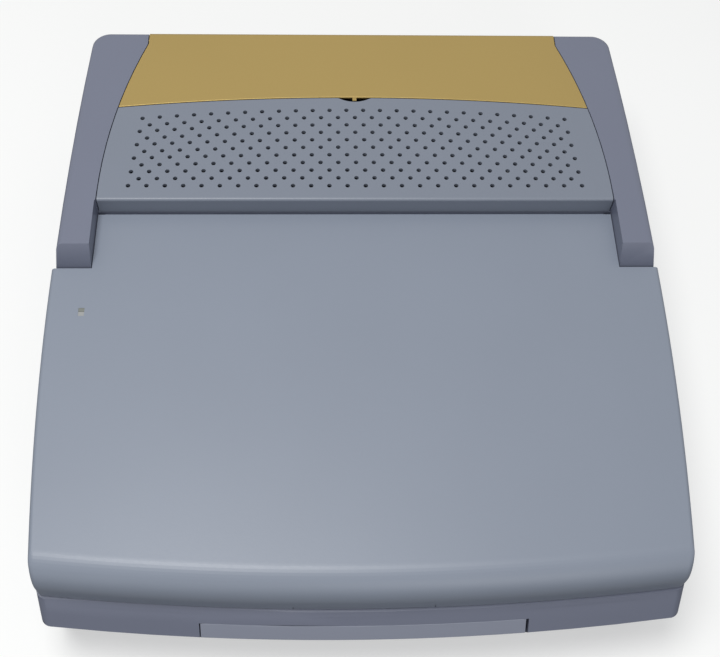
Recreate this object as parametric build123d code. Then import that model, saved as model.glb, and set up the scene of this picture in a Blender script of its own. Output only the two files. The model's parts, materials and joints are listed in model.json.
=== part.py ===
from build123d import *
import os
from math import cos, pi, radians, sin, sqrt, tan

# Portable electronic word processor: a keyboard base with a thermal printer across its rear, a screen lid
# hinged between the two cheeks of the printer housing, a perforated printer cover, a metallic paper cover
# and a pull-out handle. Millimetres; X to the right, Y to the rear, Z up; the origin is on the table under
# the middle of the object.

# ---------------------------------------------------------------- overall sizes
case_half_width = 171.6         # half width where the case is widest
widest_y = 10.0                 # place of that width
base_side_radius = 2650.0       # the long sides of the base bow out this gently
lid_side_radius = 1670.0        # the sides of the lid draw in a little more towards the front
rear_y = 184.0
base_front_y = -184.0
base_front_radius = 1566.0      # bow of the front edge of the base, seen from above
base_front_corner = 16.0
rear_corner = 11.0
foot_height = 2.5
case_split_z = 36.0             # joint between the lower and upper case shells
seam_z = 62.0                   # rim that the closed lid meets
lid_top_z = 86.0
printer_top_z = 98.0
wall = 2.5                      # moulded wall
front_roll_radius = 11.0        # rounded ledge in front of the lid
front_tuck = 16.0               # degrees by which the front slopes back under that roll
bottom_chamfer = 3.0
roll_steps = 5                  # flats that make up a rolled edge
inner_roll_steps = 3            # and its inside, which is out of sight
running_gap = 0.3               # between pieces that move past each other
bore_clearance = 0.05           # radial, between a pin or shaft and its bore
shaft_sides = 8                 # of the small shafts inside
SPAN = 400.0                    # longer than anything, for cutting tools

# ---------------------------------------------------------------- lid
lid_front_y = -172.0
lid_front_radius = 1444.0
lid_front_corner = 13.0
lid_roll_radius = 16.0
lid_rear_y = 15.4               # rear edge of the wide part, at the foot of the cheeks
lid_edge_round = 2.5
tongue_half_width = 149.0       # the lid runs back between the cheeks at this half width
hinge_y = 37.0
hinge_z = 81.0
tongue_end_radius = 16.4        # rear edge of the lid, an arc about the hinge
tongue_under_z = 68.4
hinge_pin_radius = 2.5
hinge_pin_reach = 8.5           # how far the pin stands out of the lid's side
hinge_plate_thickness = 3.0
hinge_plate_width = 18.0

# ---------------------------------------------------------------- cheeks and printer housing
cheek_front_y = 16.0            # foot of the sloped front of the cheeks
cheek_slope_run = 8.0
cheek_draw_in = 4.2             # the outer walls lean in by this much at the top
cheek_edge_round = 3.0
cheek_round_steps = 3
trough_half_width = 151.0       # between the cheeks where the lid's tongue lies
bay_front_y = 54.0              # front face of the printer housing
bay_half_width = 148.8
bay_side_radius = 355.0         # the cheeks' inner sides close in towards the rear on this arc
bay_straight_y = 174.0          # behind this they run straight back
rear_wall_top_z = 84.0
cover_thickness = 2.2
cover_gap = 0.6                 # seam at the sides of the covers
ledge_width = 2.5
ledge_height = 3.0

# ---------------------------------------------------------------- covers
paper_cover_front_y = 131.0     # middle of the paper cover's front edge
paper_cover_front_radius = 1253.0
paper_cover_hinge_y = 178.0
cover_hinge_z = 96.2
cover_pin_radius = 1.2
cover_pin_reach = 3.0
cover_boss_half_width = 3.4
paper_cover_lip_z = 86.4        # bottom of the lip turned down at the rear
paper_cover_tab_half_width = 1.2
printer_cover_hinge_y = 110.0
cover_front_gap = 0.7           # seam between the two covers
printer_cover_lip_z = 86.3      # bottom of the printer cover's front face
printer_cover_round = 3.0
hole_radius = 1.15
hole_sides = 4                  # drawn with few sides but the area of the round hole
hole_rows = 11
hole_first_row_y = 120.7        # middle of the rear row
hole_row_pitch = 5.67
hole_first_row_bow = 6.7        # the rear row follows the paper cover's edge, the front row is straight
hole_first_pitch = 10.13
hole_pitch_growth = 0.036
long_row_holes = 26
finger_notch_half_width = 12.0
finger_notch_depth = 3.6

# ---------------------------------------------------------------- keyboard deck
deck_z = 58.0
rim_width = 7.0
deck_front_y = -162.0
key_pitch = 19.05
keyboard_units = 15
key_row_back_y = -58.0          # middle of the number row
function_row_y = -39.0
key_gap = 1.0
key_taper = 14.0                # degrees
cap_bottom_z = 52.0
cap_top_z = 61.0
function_key_depth = 13.0
key_travel = 3.0
stem_side = 4.0
stem_length = 7.5
well_margin = 0.9
plate_top_z = 48.0
plate_thickness = 1.6

function_row = [1.25] * 12
number_row = [1.0] * 13 + [2.0]
upper_row = [1.5] + [1.0] * 12 + [1.5]
home_row = [1.75] + [1.0] * 11
enter_width = 2.25
left_shift_width = 2.25
right_shift_width = 2.75
lower_row = [1.0] * 10
left_bottom_row = [1.5, 1.25, 1.25]
space_width = 5.0
right_bottom_row = [1.25, 1.25]
cursor_row = [3.5 / 3] * 3

# ---------------------------------------------------------------- handle and latch
handle_half_width = 82.0
handle_gap_left = 0.6
handle_gap_right = 1.4
handle_bottom_z = 36.4
handle_top_z = 60.3
handle_depth = 8.0
handle_arm_width = 10.0
handle_arm_height = 4.4
handle_arm_x = 70.0
handle_arm_length = 44.0
handle_stop_width = 14.0
handle_stop_length = 4.0
latch_half_width = 35.3
latch_height = 3.7
latch_depth = 3.0
latch_hook_x = 28.0
latch_hook_width = 6.0
latch_hook_bottom_z = 55.0
latch_barb = 0.6                # how far a hook's end reaches under the rim
latch_barb_height = 3.0
latch_travel = 2.5

# ---------------------------------------------------------------- screen
screen_half_width = 96.0
screen_front_y = -146.0
screen_rear_y = -2.0
glass_margin = 8.0
bezel_bottom_z = 63.6
bezel_thickness = 2.4
bezel_post_inset = 13.6         # posts between the inner cover and the lid's skin
bezel_post_places_y = (-140.0, 5.0)
bezel_post_radius = 2.5
glass_thickness = 2.4
backlight_thickness = 6.0
tube_radius = 1.6
indicator_x = -152.0
indicator_y = -13.0
indicator_width = 3.3
indicator_length = 5.1
dial_x = 140.0
dial_y = -60.0
dial_radius = 9.0
dial_thickness = 3.0
dial_sides = 16
dial_shaft_height = 2.0
bumper_radius = 1.2
bumper_clearance = 0.1
bumper_places_y = (-120.0, 0.0)

# ---------------------------------------------------------------- printer mechanism
chassis_half_width = 118.0      # inner faces of the side plates
chassis_plate = 2.0
chassis_front_y = 78.0
chassis_rear_y = 164.0
chassis_floor_z = 30.0
chassis_top_z = 76.0
chassis_foot_inset = 8.0        # the case carries the frame on four blocks under its corners
chassis_foot_side = 8.0
platen_y = 146.0
platen_z = 64.0
platen_radius = 9.0
platen_half_length = 112.0
platen_shaft_radius = 3.0
gear_module = 4 / 3
gear_width = 5.0
tooth_tip = 0.8                 # height above and depth below the pitch circle
tooth_root = 1.1
tooth_tip_share = 0.1           # half width of a tooth at tip and foot, as a share of the tooth's step
tooth_foot_share = 0.29
platen_gear_teeth = 30
pinion_teeth = 9
feed_motor_angle = -45.0        # the motor sits behind and below the platen
feed_motor_radius = 13.0
feed_motor_length = 18.0
motor_shaft_radius = 1.5
motor_shaft_depth = 3.0         # how far the shaft reaches into the motor
pinch_radius = 4.0
pinch_shaft_radius = 1.5
pinch_length = 36.0
pinch_places = (-56.0, 56.0)
rod_radius = 4.0
rod_sides = 12
guide_gap = 1.2                 # between platen and paper guide
guide_thickness = 1.2
guide_start = -52.0             # degrees round the platen
guide_end = 28.0
guide_reach = 7.5
rod_y = 104.0
rod_z = 47.0
carriage_half_width = 26.0
carriage_front_y = 95.0
carriage_rear_y = 129.0
carriage_bottom_z = 40.0
carriage_top_z = 56.0
belt_clip_half_width = 5.0
head_half_width = 5.0
head_height = 14.0
cassette_half_width = 25.0
cassette_depth = 28.0
cassette_height = 12.0
cassette_setback = 2.0          # from the carriage's rear face
spool_radius = 4.5
pulley_x = 100.0
pulley_y = 116.0
pulley_radius = 6.0
pulley_height = 5.0
pulley_sides = 16
belt_clearance = 0.1
belt_thickness = 1.2
belt_bottom_z = 33.4
carriage_motor_radius = 15.0
carriage_motor_height = 17.0
lever_y = 86.0
lever_z = 66.0
lever_length = 22.0
lever_thickness = 2.5

# ---------------------------------------------------------------- boards, drive and small parts
floor_z = foot_height + wall
standoff_height = 5.0
standoff_radius = 3.0
floor_ribs_x = (-60.0, 0.0, 60.0)
floor_rib_length = 16.0
floor_rib_height = 14.0
board_thickness = 1.6
chip_height = 3.0
main_board_inset_x = 15.6       # from the case's widest place to the board's left edge
main_board_right_x = 16.0
main_board_front_y = -146.0
main_board_rear_y = 36.0
power_board_left_x = -102.0
power_board_right_x = 66.0
power_board_front_y = 86.0
power_board_rear_y = 156.0
transformer_width = 30.0
transformer_gap = 14.0          # from the board's front edge
transformer_inset = 42.0        # from its left edge
capacitor_x = 10.0
capacitor_y = 120.0
main_board_chips = (            # left edge, front edge, width, depth
    (-100.0, -90.0, 28.0, 28.0),
    (-60.0, -90.0, 20.0, 20.0),
    (-100.0, -30.0, 34.0, 14.0),
    (-50.0, -30.0, 34.0, 14.0),
    (-40.0, 10.0, 16.0, 10.0),
)
transformer_height = 13.0
capacitor_height = 14.0
capacitor_radius = 8.0
cell_height = 3.2
cell_radius = 10.0
buzzer_height = 6.0
buzzer_radius = 8.0
foot_radius = 7.5
foot_sides = 12
foot_x = 140.0
foot_front_y = -140.0
foot_rear_y = 150.0
drive_depth = 128.0
drive_width = 101.6
drive_height = 19.0
drive_y = -70.0
drive_slot_width = 92.0
drive_slot_height = 4.6
drive_slot_depth = 96.0
eject_width = 12.0
eject_height = 4.5
eject_travel = 3.0
inlet_width = 24.0
inlet_height = 16.0
inlet_depth = 16.0
inlet_x = 96.0
inlet_z = 22.0
inlet_pin_x = 4.3
inlet_pin_half = 1.0
screw_radius = 3.0
screw_boss_radius = 5.0
screw_inset_x = 15.6
screw_inset_front = 26.0
screw_inset_rear = 12.0
screw_middle_y = 60.0


# ---------------------------------------------------------------- helpers
def block(x0, x1, y0, y1, z0, z1):
    """A box between two corners."""
    return Pos((x0 + x1) / 2, (y0 + y1) / 2, (z0 + z1) / 2) * Box(x1 - x0, y1 - y0, z1 - z0)


def rod_along_x(x0, x1, y, z, radius):
    return Pos((x0 + x1) / 2, y, z) * Rot(0, 90, 0) * Cylinder(radius, abs(x1 - x0))


def rod_along_z(x, y, z0, z1, radius):
    return Pos(x, y, (z0 + z1) / 2) * Cylinder(radius, z1 - z0)


def along_x(face, x0, x1, y, z):
    """A face drawn about a point of the YZ plane, carried from x0 to x1."""
    return Pos(x0, y, z) * Rot(0, 0, 90) * Rot(90, 0, 0) * extrude(face, x1 - x0)


def shaft_along_x(x0, x1, y, z, radius, sides=shaft_sides):
    """A flat-sided shaft whose corners run in a bore of the given radius."""
    return along_x(RegularPolygon(radius, sides), x0, x1, y, z)


def square_seat(x0, x1, y, z, radius):
    """A square opening along X in which a shaft of the given radius turns."""
    half = radius + bore_clearance
    return block(x0, x1, y - half, y + half, z - half, z + half)


def post(x, y, z0, z1, radius, sides=6):
    """An upright flat-sided post."""
    return prism(Pos(x, y) * RegularPolygon(radius, sides), z0, z1)


def square_well(x, y, z0, z1, radius):
    """A square upright opening in which a shaft of the given radius turns."""
    half = radius + bore_clearance
    return block(x - half, x + half, y - half, y + half, z0, z1)


def prism(face, z0, z1):
    """A plan outline raised from z0 to z1."""
    return extrude(Pos(0, 0, z0) * face, z1 - z0)


def side_profile(points, x0, x1):
    """A closed outline of straight runs in the YZ plane, carried from x0 to x1."""
    face = make_face(Polyline([(x0, y, z) for y, z in points], close=True))
    return extrude(face, x1 - x0, dir=(1, 0, 0))


def both_sides(piece):
    """A piece and its mirror image on the other side of the object."""
    return [piece, mirror(piece, about=Plane.YZ)]


def bowed_in(half_width, radius, distance):
    """Half width at a distance from the widest place of a side that is an arc."""
    return half_width - radius + sqrt(radius**2 - distance**2)


def plan_outline(inset, side_radius, front_y, front_radius, front_corner, back_y, back_corner):
    """The case seen from above: bowed sides, bowed front, straight back, rounded corners."""
    half = case_half_width - inset
    front = front_y + inset
    back = back_y - inset
    radius = front_radius - inset
    corner_y = front + radius - sqrt(radius**2 - half**2)
    back_x = bowed_in(half, side_radius, back - widest_y)
    front_x = bowed_in(half, side_radius, corner_y - widest_y)
    edges = [
        Line((-back_x, back), (back_x, back)),
        ThreePointArc((back_x, back), (half, widest_y), (front_x, corner_y)),
        ThreePointArc((front_x, corner_y), (0, front), (-front_x, corner_y)),
        ThreePointArc((-front_x, corner_y), (-half, widest_y), (-back_x, back)),
    ]
    face = make_face(edges)
    face = fillet(face.vertices().group_by(Axis.Y)[0], max(front_corner - inset, 1.0))
    if back_corner > 0:
        face = fillet(face.vertices().group_by(Axis.Y)[-1], max(back_corner - inset, 1.0))
    return face


def base_plan(inset):
    return plan_outline(
        inset, base_side_radius, base_front_y, base_front_radius, base_front_corner, rear_y, rear_corner
    )


def lid_plan(inset):
    return plan_outline(
        inset, lid_side_radius, lid_front_y, lid_front_radius, lid_front_corner, lid_rear_y, 0
    )


def rounded_over(z, top_z, radius):
    """How far an edge rounded over below top_z has drawn in at height z."""
    rise = max(z - top_z + radius, 0.0)
    return radius - sqrt(max(radius**2 - rise**2, 0.0))


def rounding_heights(top_z, radius, steps):
    """Heights at even turns along a quarter round that ends at top_z."""
    return [top_z - radius * (1 - sin(pi / 2 * step / steps)) for step in range(steps + 1)]


def stack_of_outlines(outline_at, heights):
    """A solid through the outline at each height, with straight sides between two heights."""
    return loft([Pos(0, 0, z) * outline_at(z) for z in heights], ruled=True)


def tuck_start_z():
    """Where the roll of the front turns into the slope that runs back under it."""
    return seam_z - front_roll_radius * (1 + sin(radians(front_tuck)))


def front_set_back(z):
    """How far the base's front lies behind its foremost line: the roll, then the slope under it."""
    if z >= tuck_start_z():
        off_middle = z - seam_z + front_roll_radius
        return front_roll_radius - sqrt(max(front_roll_radius**2 - off_middle**2, 0.0))
    rolled_back = front_roll_radius * (1 - cos(radians(front_tuck)))
    return rolled_back + (tuck_start_z() - z) * tan(radians(front_tuck))


def base_plan_at(z, inset):
    """The base seen from above at a height, its front set back by the roll or the slope."""
    return plan_outline(
        inset, base_side_radius, base_front_y + front_set_back(z), base_front_radius,
        base_front_corner, rear_y, rear_corner,
    )


def base_block():
    """The base from the case joint to the rim, its front top edge rolled over."""
    def outline_at(z):
        return base_plan_at(z, 0)
    heights = [case_split_z, tuck_start_z()] + rounding_heights(seam_z, front_roll_radius, roll_steps)
    rolled = stack_of_outlines(outline_at, heights)
    behind_y = base_front_y + 2 * (front_roll_radius + base_front_corner)
    behind = Pos(0, behind_y + SPAN / 2) * Rectangle(SPAN, SPAN)
    ahead = Pos(0, behind_y - SPAN / 2) * Rectangle(SPAN, SPAN)
    front = rolled & prism(ahead, case_split_z, seam_z)
    return front + prism(base_plan(0) & behind, case_split_z, seam_z)


def bay_half_width_at(y):
    """Half the distance between the cheeks' inner sides."""
    distance = min(y, bay_straight_y) - bay_front_y
    return bowed_in(bay_half_width, bay_side_radius, max(distance, 0.0))


def bay_plan(y0, y1, inset):
    """The space between the cheeks from y0 to y1, drawn in by a gap at each side."""
    arc_end = min(y1, bay_straight_y)
    middle_y = (y0 + arc_end) / 2
    right = [(bay_half_width_at(y) - inset, y) for y in (y0, middle_y, arc_end)]
    left = [(-x, y) for x, y in right]
    edges = [ThreePointArc(*right), ThreePointArc(*left)]
    if y1 > bay_straight_y:
        edges += [Line(right[2], (right[2][0], y1)), Line(left[2], (left[2][0], y1))]
    edges += [Line((-right[2][0], y1), (right[2][0], y1)), Line(left[0], right[0])]
    return make_face(edges)


def paper_edge_disc(offset):
    """Everything in front of the paper cover's bowed front edge, moved forward by an offset."""
    centre_y = paper_cover_front_y - paper_cover_front_radius
    return Pos(0, centre_y) * Circle(paper_cover_front_radius - offset)


def gear_outline(teeth, phase):
    """A spur gear seen along its axis, with straight-flanked teeth thinned for backlash."""
    pitch_radius = gear_module * teeth / 2
    tip = pitch_radius + tooth_tip
    root = pitch_radius - tooth_root
    step = 2 * pi / teeth
    outline = []
    for tooth in range(teeth):
        middle = radians(phase) + tooth * step
        for share, radius in (
            (-tooth_foot_share, root),
            (-tooth_tip_share, tip),
            (tooth_tip_share, tip),
            (tooth_foot_share, root),
        ):
            angle = middle + share * step
            outline.append((radius * cos(angle), radius * sin(angle)))
    return make_face(Polyline(outline, close=True))


# ---------------------------------------------------------------- case
def bottom_case():
    """The lower shell: floor, walls to the case joint, bosses, and the cut-outs in its sides."""
    def outside_at(z):
        return base_plan_at(z, max(bottom_chamfer - (z - foot_height), 0.0))

    shell = stack_of_outlines(outside_at, [foot_height, foot_height + bottom_chamfer, case_split_z])
    shell -= prism(base_plan_at(floor_z, wall), floor_z, case_split_z)
    for x, y in screw_places():
        shell += post(x, y, floor_z, case_split_z, screw_boss_radius)
        shell -= post(x, y, foot_height, case_split_z, screw_radius + bore_clearance)
    for x, y in main_board_posts() + power_board_posts():
        shell += post(x, y, floor_z, floor_z + standoff_height, standoff_radius)
    for y in (chassis_front_y + chassis_foot_inset, chassis_rear_y - chassis_foot_inset):
        foot = block(
            chassis_half_width - chassis_foot_side / 2, chassis_half_width + chassis_foot_side / 2,
            y - chassis_foot_side / 2, y + chassis_foot_side / 2, floor_z, chassis_floor_z,
        )
        for piece in both_sides(foot):
            shell += piece
    slot_half = drive_slot_width / 2 + 2
    shell -= block(
        150, 180, drive_y - slot_half, drive_y + slot_half, drive_slot_z() - 6, drive_slot_z() + 4
    )
    shell -= block(
        inlet_x - inlet_width / 2, inlet_x + inlet_width / 2, rear_y - 10, rear_y + 5,
        inlet_z - inlet_height / 2, inlet_z + inlet_height / 2,
    )
    rib_y = base_front_y + front_set_back(foot_height) + 2 * wall
    for x in floor_ribs_x:
        shell += block(
            x - wall / 4, x + wall / 4, rib_y, rib_y + floor_rib_length, floor_z, floor_z + floor_rib_height
        )
    return shell


def screw_places():
    screw_x = case_half_width - screw_inset_x
    rows_y = (base_front_y + screw_inset_front, screw_middle_y, rear_y - screw_inset_rear)
    return [(x, y) for y in rows_y for x in (-screw_x, screw_x)]


def main_board_posts():
    return [(x, y) for x in (-150.0, 10.0) for y in (-140.0, 30.0)]


def power_board_posts():
    return [(x, y) for x in (-96.0, 60.0) for y in (92.0, 150.0)]


def upper_block():
    """Outer shape of the printer housing: side walls that lean in towards the top, edges rounded over."""
    def outline_at(z):
        lean = cheek_draw_in * (z - seam_z) / (printer_top_z - seam_z)
        rounding = rounded_over(z, printer_top_z, cheek_edge_round)
        return plan_outline(
            lean + rounding, base_side_radius, base_front_y, base_front_radius,
            base_front_corner, rear_y + lean, rear_corner + lean,
        )
    solid = stack_of_outlines(
        outline_at, [seam_z] + rounding_heights(printer_top_z, cheek_edge_round, cheek_round_steps)
    )
    slope_foot = (cheek_front_y, lid_top_z)
    slope_end = (cheek_front_y + 2 * cheek_slope_run, 2 * printer_top_z - lid_top_z)
    ahead = side_profile(
        [(-SPAN, seam_z - 1), (cheek_front_y, seam_z - 1), slope_foot, slope_end, (-SPAN, slope_end[1])],
        -SPAN, SPAN,
    )
    return solid - ahead


def top_case():
    """The upper shell: rim and keyboard deck, cheeks, and the walls round the printer bay."""
    shell = base_block() + upper_block()
    # room under the lid
    recess = base_plan(rim_width) & Pos(0, (deck_front_y + cheek_front_y) / 2) * Rectangle(
        SPAN, cheek_front_y - deck_front_y
    )
    shell -= prism(recess, deck_z, seam_z + 1)
    shell -= block(
        -trough_half_width, trough_half_width, cheek_front_y - 1, bay_front_y, deck_z, printer_top_z + 1
    )
    # printer bay, open above and below
    shell -= prism(bay_plan(bay_front_y + wall, rear_y - wall, 0), case_split_z - 1, printer_top_z + 1)
    shell -= prism(bay_plan(bay_front_y - 1, bay_front_y + wall + 1, 0), lid_top_z, printer_top_z + 1)
    rear_opening = bay_half_width_at(bay_straight_y)
    shell -= block(
        -rear_opening, rear_opening, bay_straight_y, rear_y + 1, rear_wall_top_z, printer_top_z + 1
    )
    # hollow under the deck and inside the cheeks
    inside = base_plan_at(case_split_z, wall)
    under_deck = inside & Pos(0, bay_front_y - SPAN / 2) * Rectangle(SPAN, SPAN)
    shell -= prism(under_deck, case_split_z - 1, deck_z - wall)
    shell -= cheek_cavities()
    # frame round the handle's recess, and the recess
    frame_x = handle_half_width + handle_gap_right + wall
    frame_back = base_front_y + handle_depth + wall + 1
    handle_frame = block(
        -frame_x, frame_x, base_front_y, frame_back, case_split_z, deck_z - wall
    )
    shell += handle_frame & prism(base_plan_at(case_split_z, wall / 2), case_split_z, seam_z)
    shell -= handle_recess()
    # slots for the lid's hooks, and the keyboard well
    hook_y = latch_hook_y()
    for piece in both_sides(
        block(
            latch_hook_x - latch_hook_width / 2 - 1, latch_hook_x + latch_hook_width / 2 + 1,
            hook_y - 1, hook_y + latch_depth + latch_travel + 1, deck_z - wall - 1, seam_z + 1,
        )
    ):
        shell -= piece
    shell -= keyboard_well()
    shell -= power_switch_slot()
    # seats: ledges for the covers, bores for the pins, bosses for the case screws
    shell += cover_ledges()
    for piece in hinge_bores():
        shell -= piece
    return shell


def cheek_cavities():
    """The hollow inside each cheek, open below, with solid material left round the cover pins."""
    cavity_top = printer_top_z - wall
    front = cheek_front_y + cheek_slope_run + 1
    inside = base_plan(wall + cheek_draw_in) & Pos(0, front + SPAN / 2) * Rectangle(SPAN, SPAN)
    core = bay_plan(bay_front_y, rear_y, -wall) + Pos(0, bay_front_y / 2 - wall) * Rectangle(
        2 * (trough_half_width + wall), bay_front_y + 3 * wall
    )
    cavity = prism(inside - core, case_split_z - 1, cavity_top)
    for y in (paper_cover_hinge_y, printer_cover_hinge_y):
        x = bay_half_width_at(y)
        boss = block(
            x - wall, x + cover_pin_reach + 2 * wall, y - 2 * wall, y + 2 * wall,
            cover_hinge_z - 2 * wall, printer_top_z,
        )
        for piece in both_sides(boss):
            cavity -= piece
    return cavity


def cover_ledges():
    """Narrow shelves on the cheeks' inner sides that the closed covers lie on."""
    top = printer_top_z - cover_thickness - running_gap
    shelves = Part()
    for y0, y1 in ((bay_front_y + 8, printer_cover_hinge_y - 8), (133.0, paper_cover_hinge_y - 12)):
        ring = bay_plan(y0, y1, -1) - bay_plan(y0 - 1, y1 + 1, ledge_width)
        shelves += prism(ring, top - ledge_height, top)
    return shelves


def hinge_bores():
    """Openings in the cheeks for the lid's pins and for the pins of the two covers."""
    openings = both_sides(
        square_seat(
            trough_half_width - 1, trough_half_width + wall + 1, hinge_y, hinge_z, hinge_pin_radius + 1
        )
    )
    for y in (paper_cover_hinge_y, printer_cover_hinge_y):
        x = bay_half_width_at(y)
        openings += both_sides(
            square_seat(x - cover_pin_reach, x + cover_pin_reach, y, cover_hinge_z, cover_pin_radius)
        )
    return openings


def handle_recess():
    """The recess in the front that the handle lies in, with slots for its two arms."""
    back = base_front_y + handle_depth + 1
    recess = block(
        -handle_half_width - handle_gap_left, handle_half_width + handle_gap_right,
        base_front_y - 5, back, case_split_z - 1, handle_top_z + running_gap,
    )
    half = handle_arm_width / 2 + running_gap
    arm_top_z = handle_bottom_z + handle_arm_height + running_gap
    for x in (-handle_arm_x, handle_arm_x):
        recess += block(x - half, x + half, back - 1, back + wall + 2, case_split_z - 1, arm_top_z)
    return recess


def rubber_feet():
    feet = []
    for x in (-foot_x, foot_x):
        for y in (foot_front_y, foot_rear_y):
            feet.append(post(x, y, 0, foot_height, foot_radius, foot_sides))
    return feet


def case_screws():
    """Screws that hold the two shells together, sunk in the floor."""
    screws = []
    for x, y in screw_places():
        screws.append(post(x, y, foot_height + 2, case_split_z - 1, screw_radius))
    return screws


def carry_handle():
    """Pull-out handle: a bar whose front carries on the front of the base, on two sliding arms."""
    bar = block(
        -handle_half_width, handle_half_width, base_front_y - 5, base_front_y + handle_depth,
        handle_bottom_z, handle_top_z,
    )
    bar &= base_block()
    half = handle_arm_width / 2
    stop = handle_stop_width / 2
    arm_top_z = handle_bottom_z + handle_arm_height
    arm_start = base_front_y + handle_depth - 1
    arm_end = arm_start + handle_arm_length
    for x in (-handle_arm_x, handle_arm_x):
        bar += block(x - half, x + half, arm_start, arm_end, handle_bottom_z, arm_top_z)
        bar += block(x - stop, x + stop, arm_end, arm_end + handle_stop_length, handle_bottom_z, arm_top_z)
    return bar


# ---------------------------------------------------------------- lid
def tongue_profile(x0, x1, radius, under_z, front_y, top_z):
    """Section of the lid's rear part: flat top, rear edge an arc about the hinge, flat underside."""
    top_y = hinge_y + sqrt(radius**2 - (top_z - hinge_z) ** 2)
    under_y = hinge_y + sqrt(radius**2 - (hinge_z - under_z) ** 2)
    edges = [
        Polyline((x0, top_y, top_z), (x0, front_y, top_z), (x0, front_y, under_z), (x0, under_y, under_z)),
        ThreePointArc(
            (x0, under_y, under_z), (x0, hinge_y + radius, hinge_z), (x0, top_y, top_z)
        ),
    ]
    return extrude(make_face(edges), x1 - x0, dir=(1, 0, 0))


def lid_block(inset, bottom_z, steps):
    """The wide part of the lid drawn in by an inset, with its front rolled over and its sides rounded."""
    top_z = lid_top_z - inset
    roll = lid_roll_radius - inset
    side_round = lid_edge_round - inset

    def outline_at(z):
        side = inset + rounded_over(z, top_z, side_round)
        front_y = lid_front_y + inset + rounded_over(z, top_z, roll)
        return plan_outline(
            side, lid_side_radius, front_y - side, lid_front_radius, lid_front_corner,
            lid_rear_y - inset + side, 0,
        )
    return stack_of_outlines(outline_at, [bottom_z] + rounding_heights(top_z, roll, steps))


def lid_cover():
    """Outer shell of the lid: wide part with its front rolled over, and the tongue between the cheeks."""
    shell = lid_block(0.0, seam_z + running_gap, roll_steps)
    shell += tongue_profile(
        -tongue_half_width, tongue_half_width, tongue_end_radius, tongue_under_z, lid_rear_y - 3, lid_top_z
    )
    shell -= lid_block(wall, seam_z, inner_roll_steps)
    shell -= tongue_profile(
        -tongue_half_width + wall, tongue_half_width - wall, tongue_end_radius - wall,
        tongue_under_z + wall, lid_rear_y - 2 * wall, lid_top_z - wall,
    )
    shell -= block(
        -latch_half_width - running_gap, latch_half_width + running_gap, lid_front_y - 5,
        lid_front_y + wall + 2, seam_z - 1, latch_top_z() + running_gap,
    )
    for piece in hinge_seats():
        shell -= piece
    shell -= indicator(0.0, lid_top_z - wall - 1, lid_top_z + 1)
    return shell


def hinge_seats():
    """Where the pins come out through the sides of the lid's tongue."""
    return both_sides(
        square_seat(
            tongue_half_width - wall - 1, tongue_half_width + 1, hinge_y, hinge_z, hinge_pin_radius
        )
    )


def lid_hinges():
    """Steel hinge leaves in the lid, each with the pin that turns in the cheek's bracket."""
    x0 = tongue_half_width - wall - hinge_plate_thickness
    x1 = tongue_half_width - wall
    half = hinge_plate_width / 2
    leaf = block(x0, x1, hinge_y - half, hinge_y + half, hinge_z - half, hinge_z + 2)
    leaf += block(x0 - 12, x1, hinge_y - half - 26, hinge_y - half, hinge_z - half, hinge_z - half + 2)
    leaf += block(x0, x1, hinge_y - half - 26, hinge_y - half, hinge_z - half, hinge_z + 2)
    leaf += rod_along_x(x0, tongue_half_width + hinge_pin_reach, hinge_y, hinge_z, hinge_pin_radius)
    return both_sides(leaf)


def hinge_brackets():
    """Steel brackets on the cheeks' inner walls that carry the lid's pins."""
    x0 = trough_half_width + wall
    half = hinge_plate_width / 2
    plate = block(
        x0, x0 + hinge_plate_thickness, hinge_y - half, hinge_y + half, deck_z, hinge_z + half
    )
    plate += block(x0, x0 + 3 * hinge_plate_thickness, hinge_y - half, hinge_y + half, deck_z, deck_z + 2)
    plate -= square_seat(x0 - 1, x0 + hinge_plate_thickness + 1, hinge_y, hinge_z, hinge_pin_radius)
    return both_sides(plate)


def indicator(gap, z0, z1):
    """Plan place of the small indicator window near the lid's left edge."""
    half_x = indicator_width / 2 + gap
    half_y = indicator_length / 2 + gap
    return block(
        indicator_x - half_x, indicator_x + half_x, indicator_y - half_y, indicator_y + half_y, z0, z1
    )


def indicator_window():
    """Clear light pipe: a plate behind the lid's skin with the window standing up through it."""
    pipe = indicator(0.0, lid_top_z - wall, lid_top_z - 0.2)
    return pipe + indicator(2.0, lid_top_z - wall - 2, lid_top_z - wall)


def latch_top_z():
    return seam_z + running_gap + latch_height


def latch_hook_y():
    return lid_front_y + latch_depth


def lid_latch():
    """Push bar in the lid's lower front edge, with two hooks that reach into the rim."""
    bar = block(
        -latch_half_width, latch_half_width, lid_front_y - 5, lid_front_y + wall + 1,
        seam_z + running_gap, latch_top_z(),
    )
    bar &= prism(lid_plan(0), seam_z, lid_top_z)
    hook_y = latch_hook_y()
    for x in (-latch_hook_x, latch_hook_x):
        half = latch_hook_width / 2
        back_y = hook_y + latch_depth
        barb_top_z = latch_hook_bottom_z + latch_barb_height
        bar += block(x - half, x + half, hook_y, back_y, latch_hook_bottom_z, latch_top_z())
        bar += block(x - half, x + half, hook_y - latch_barb, back_y, latch_hook_bottom_z, barb_top_z)
    return bar


def bezel_hole():
    """The screen's opening in the bezel."""
    return block(
        -screen_half_width, screen_half_width, screen_front_y, screen_rear_y,
        bezel_bottom_z - 1, bezel_top_z() + 1,
    )


def bezel_top_z():
    return bezel_bottom_z + bezel_thickness


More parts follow.
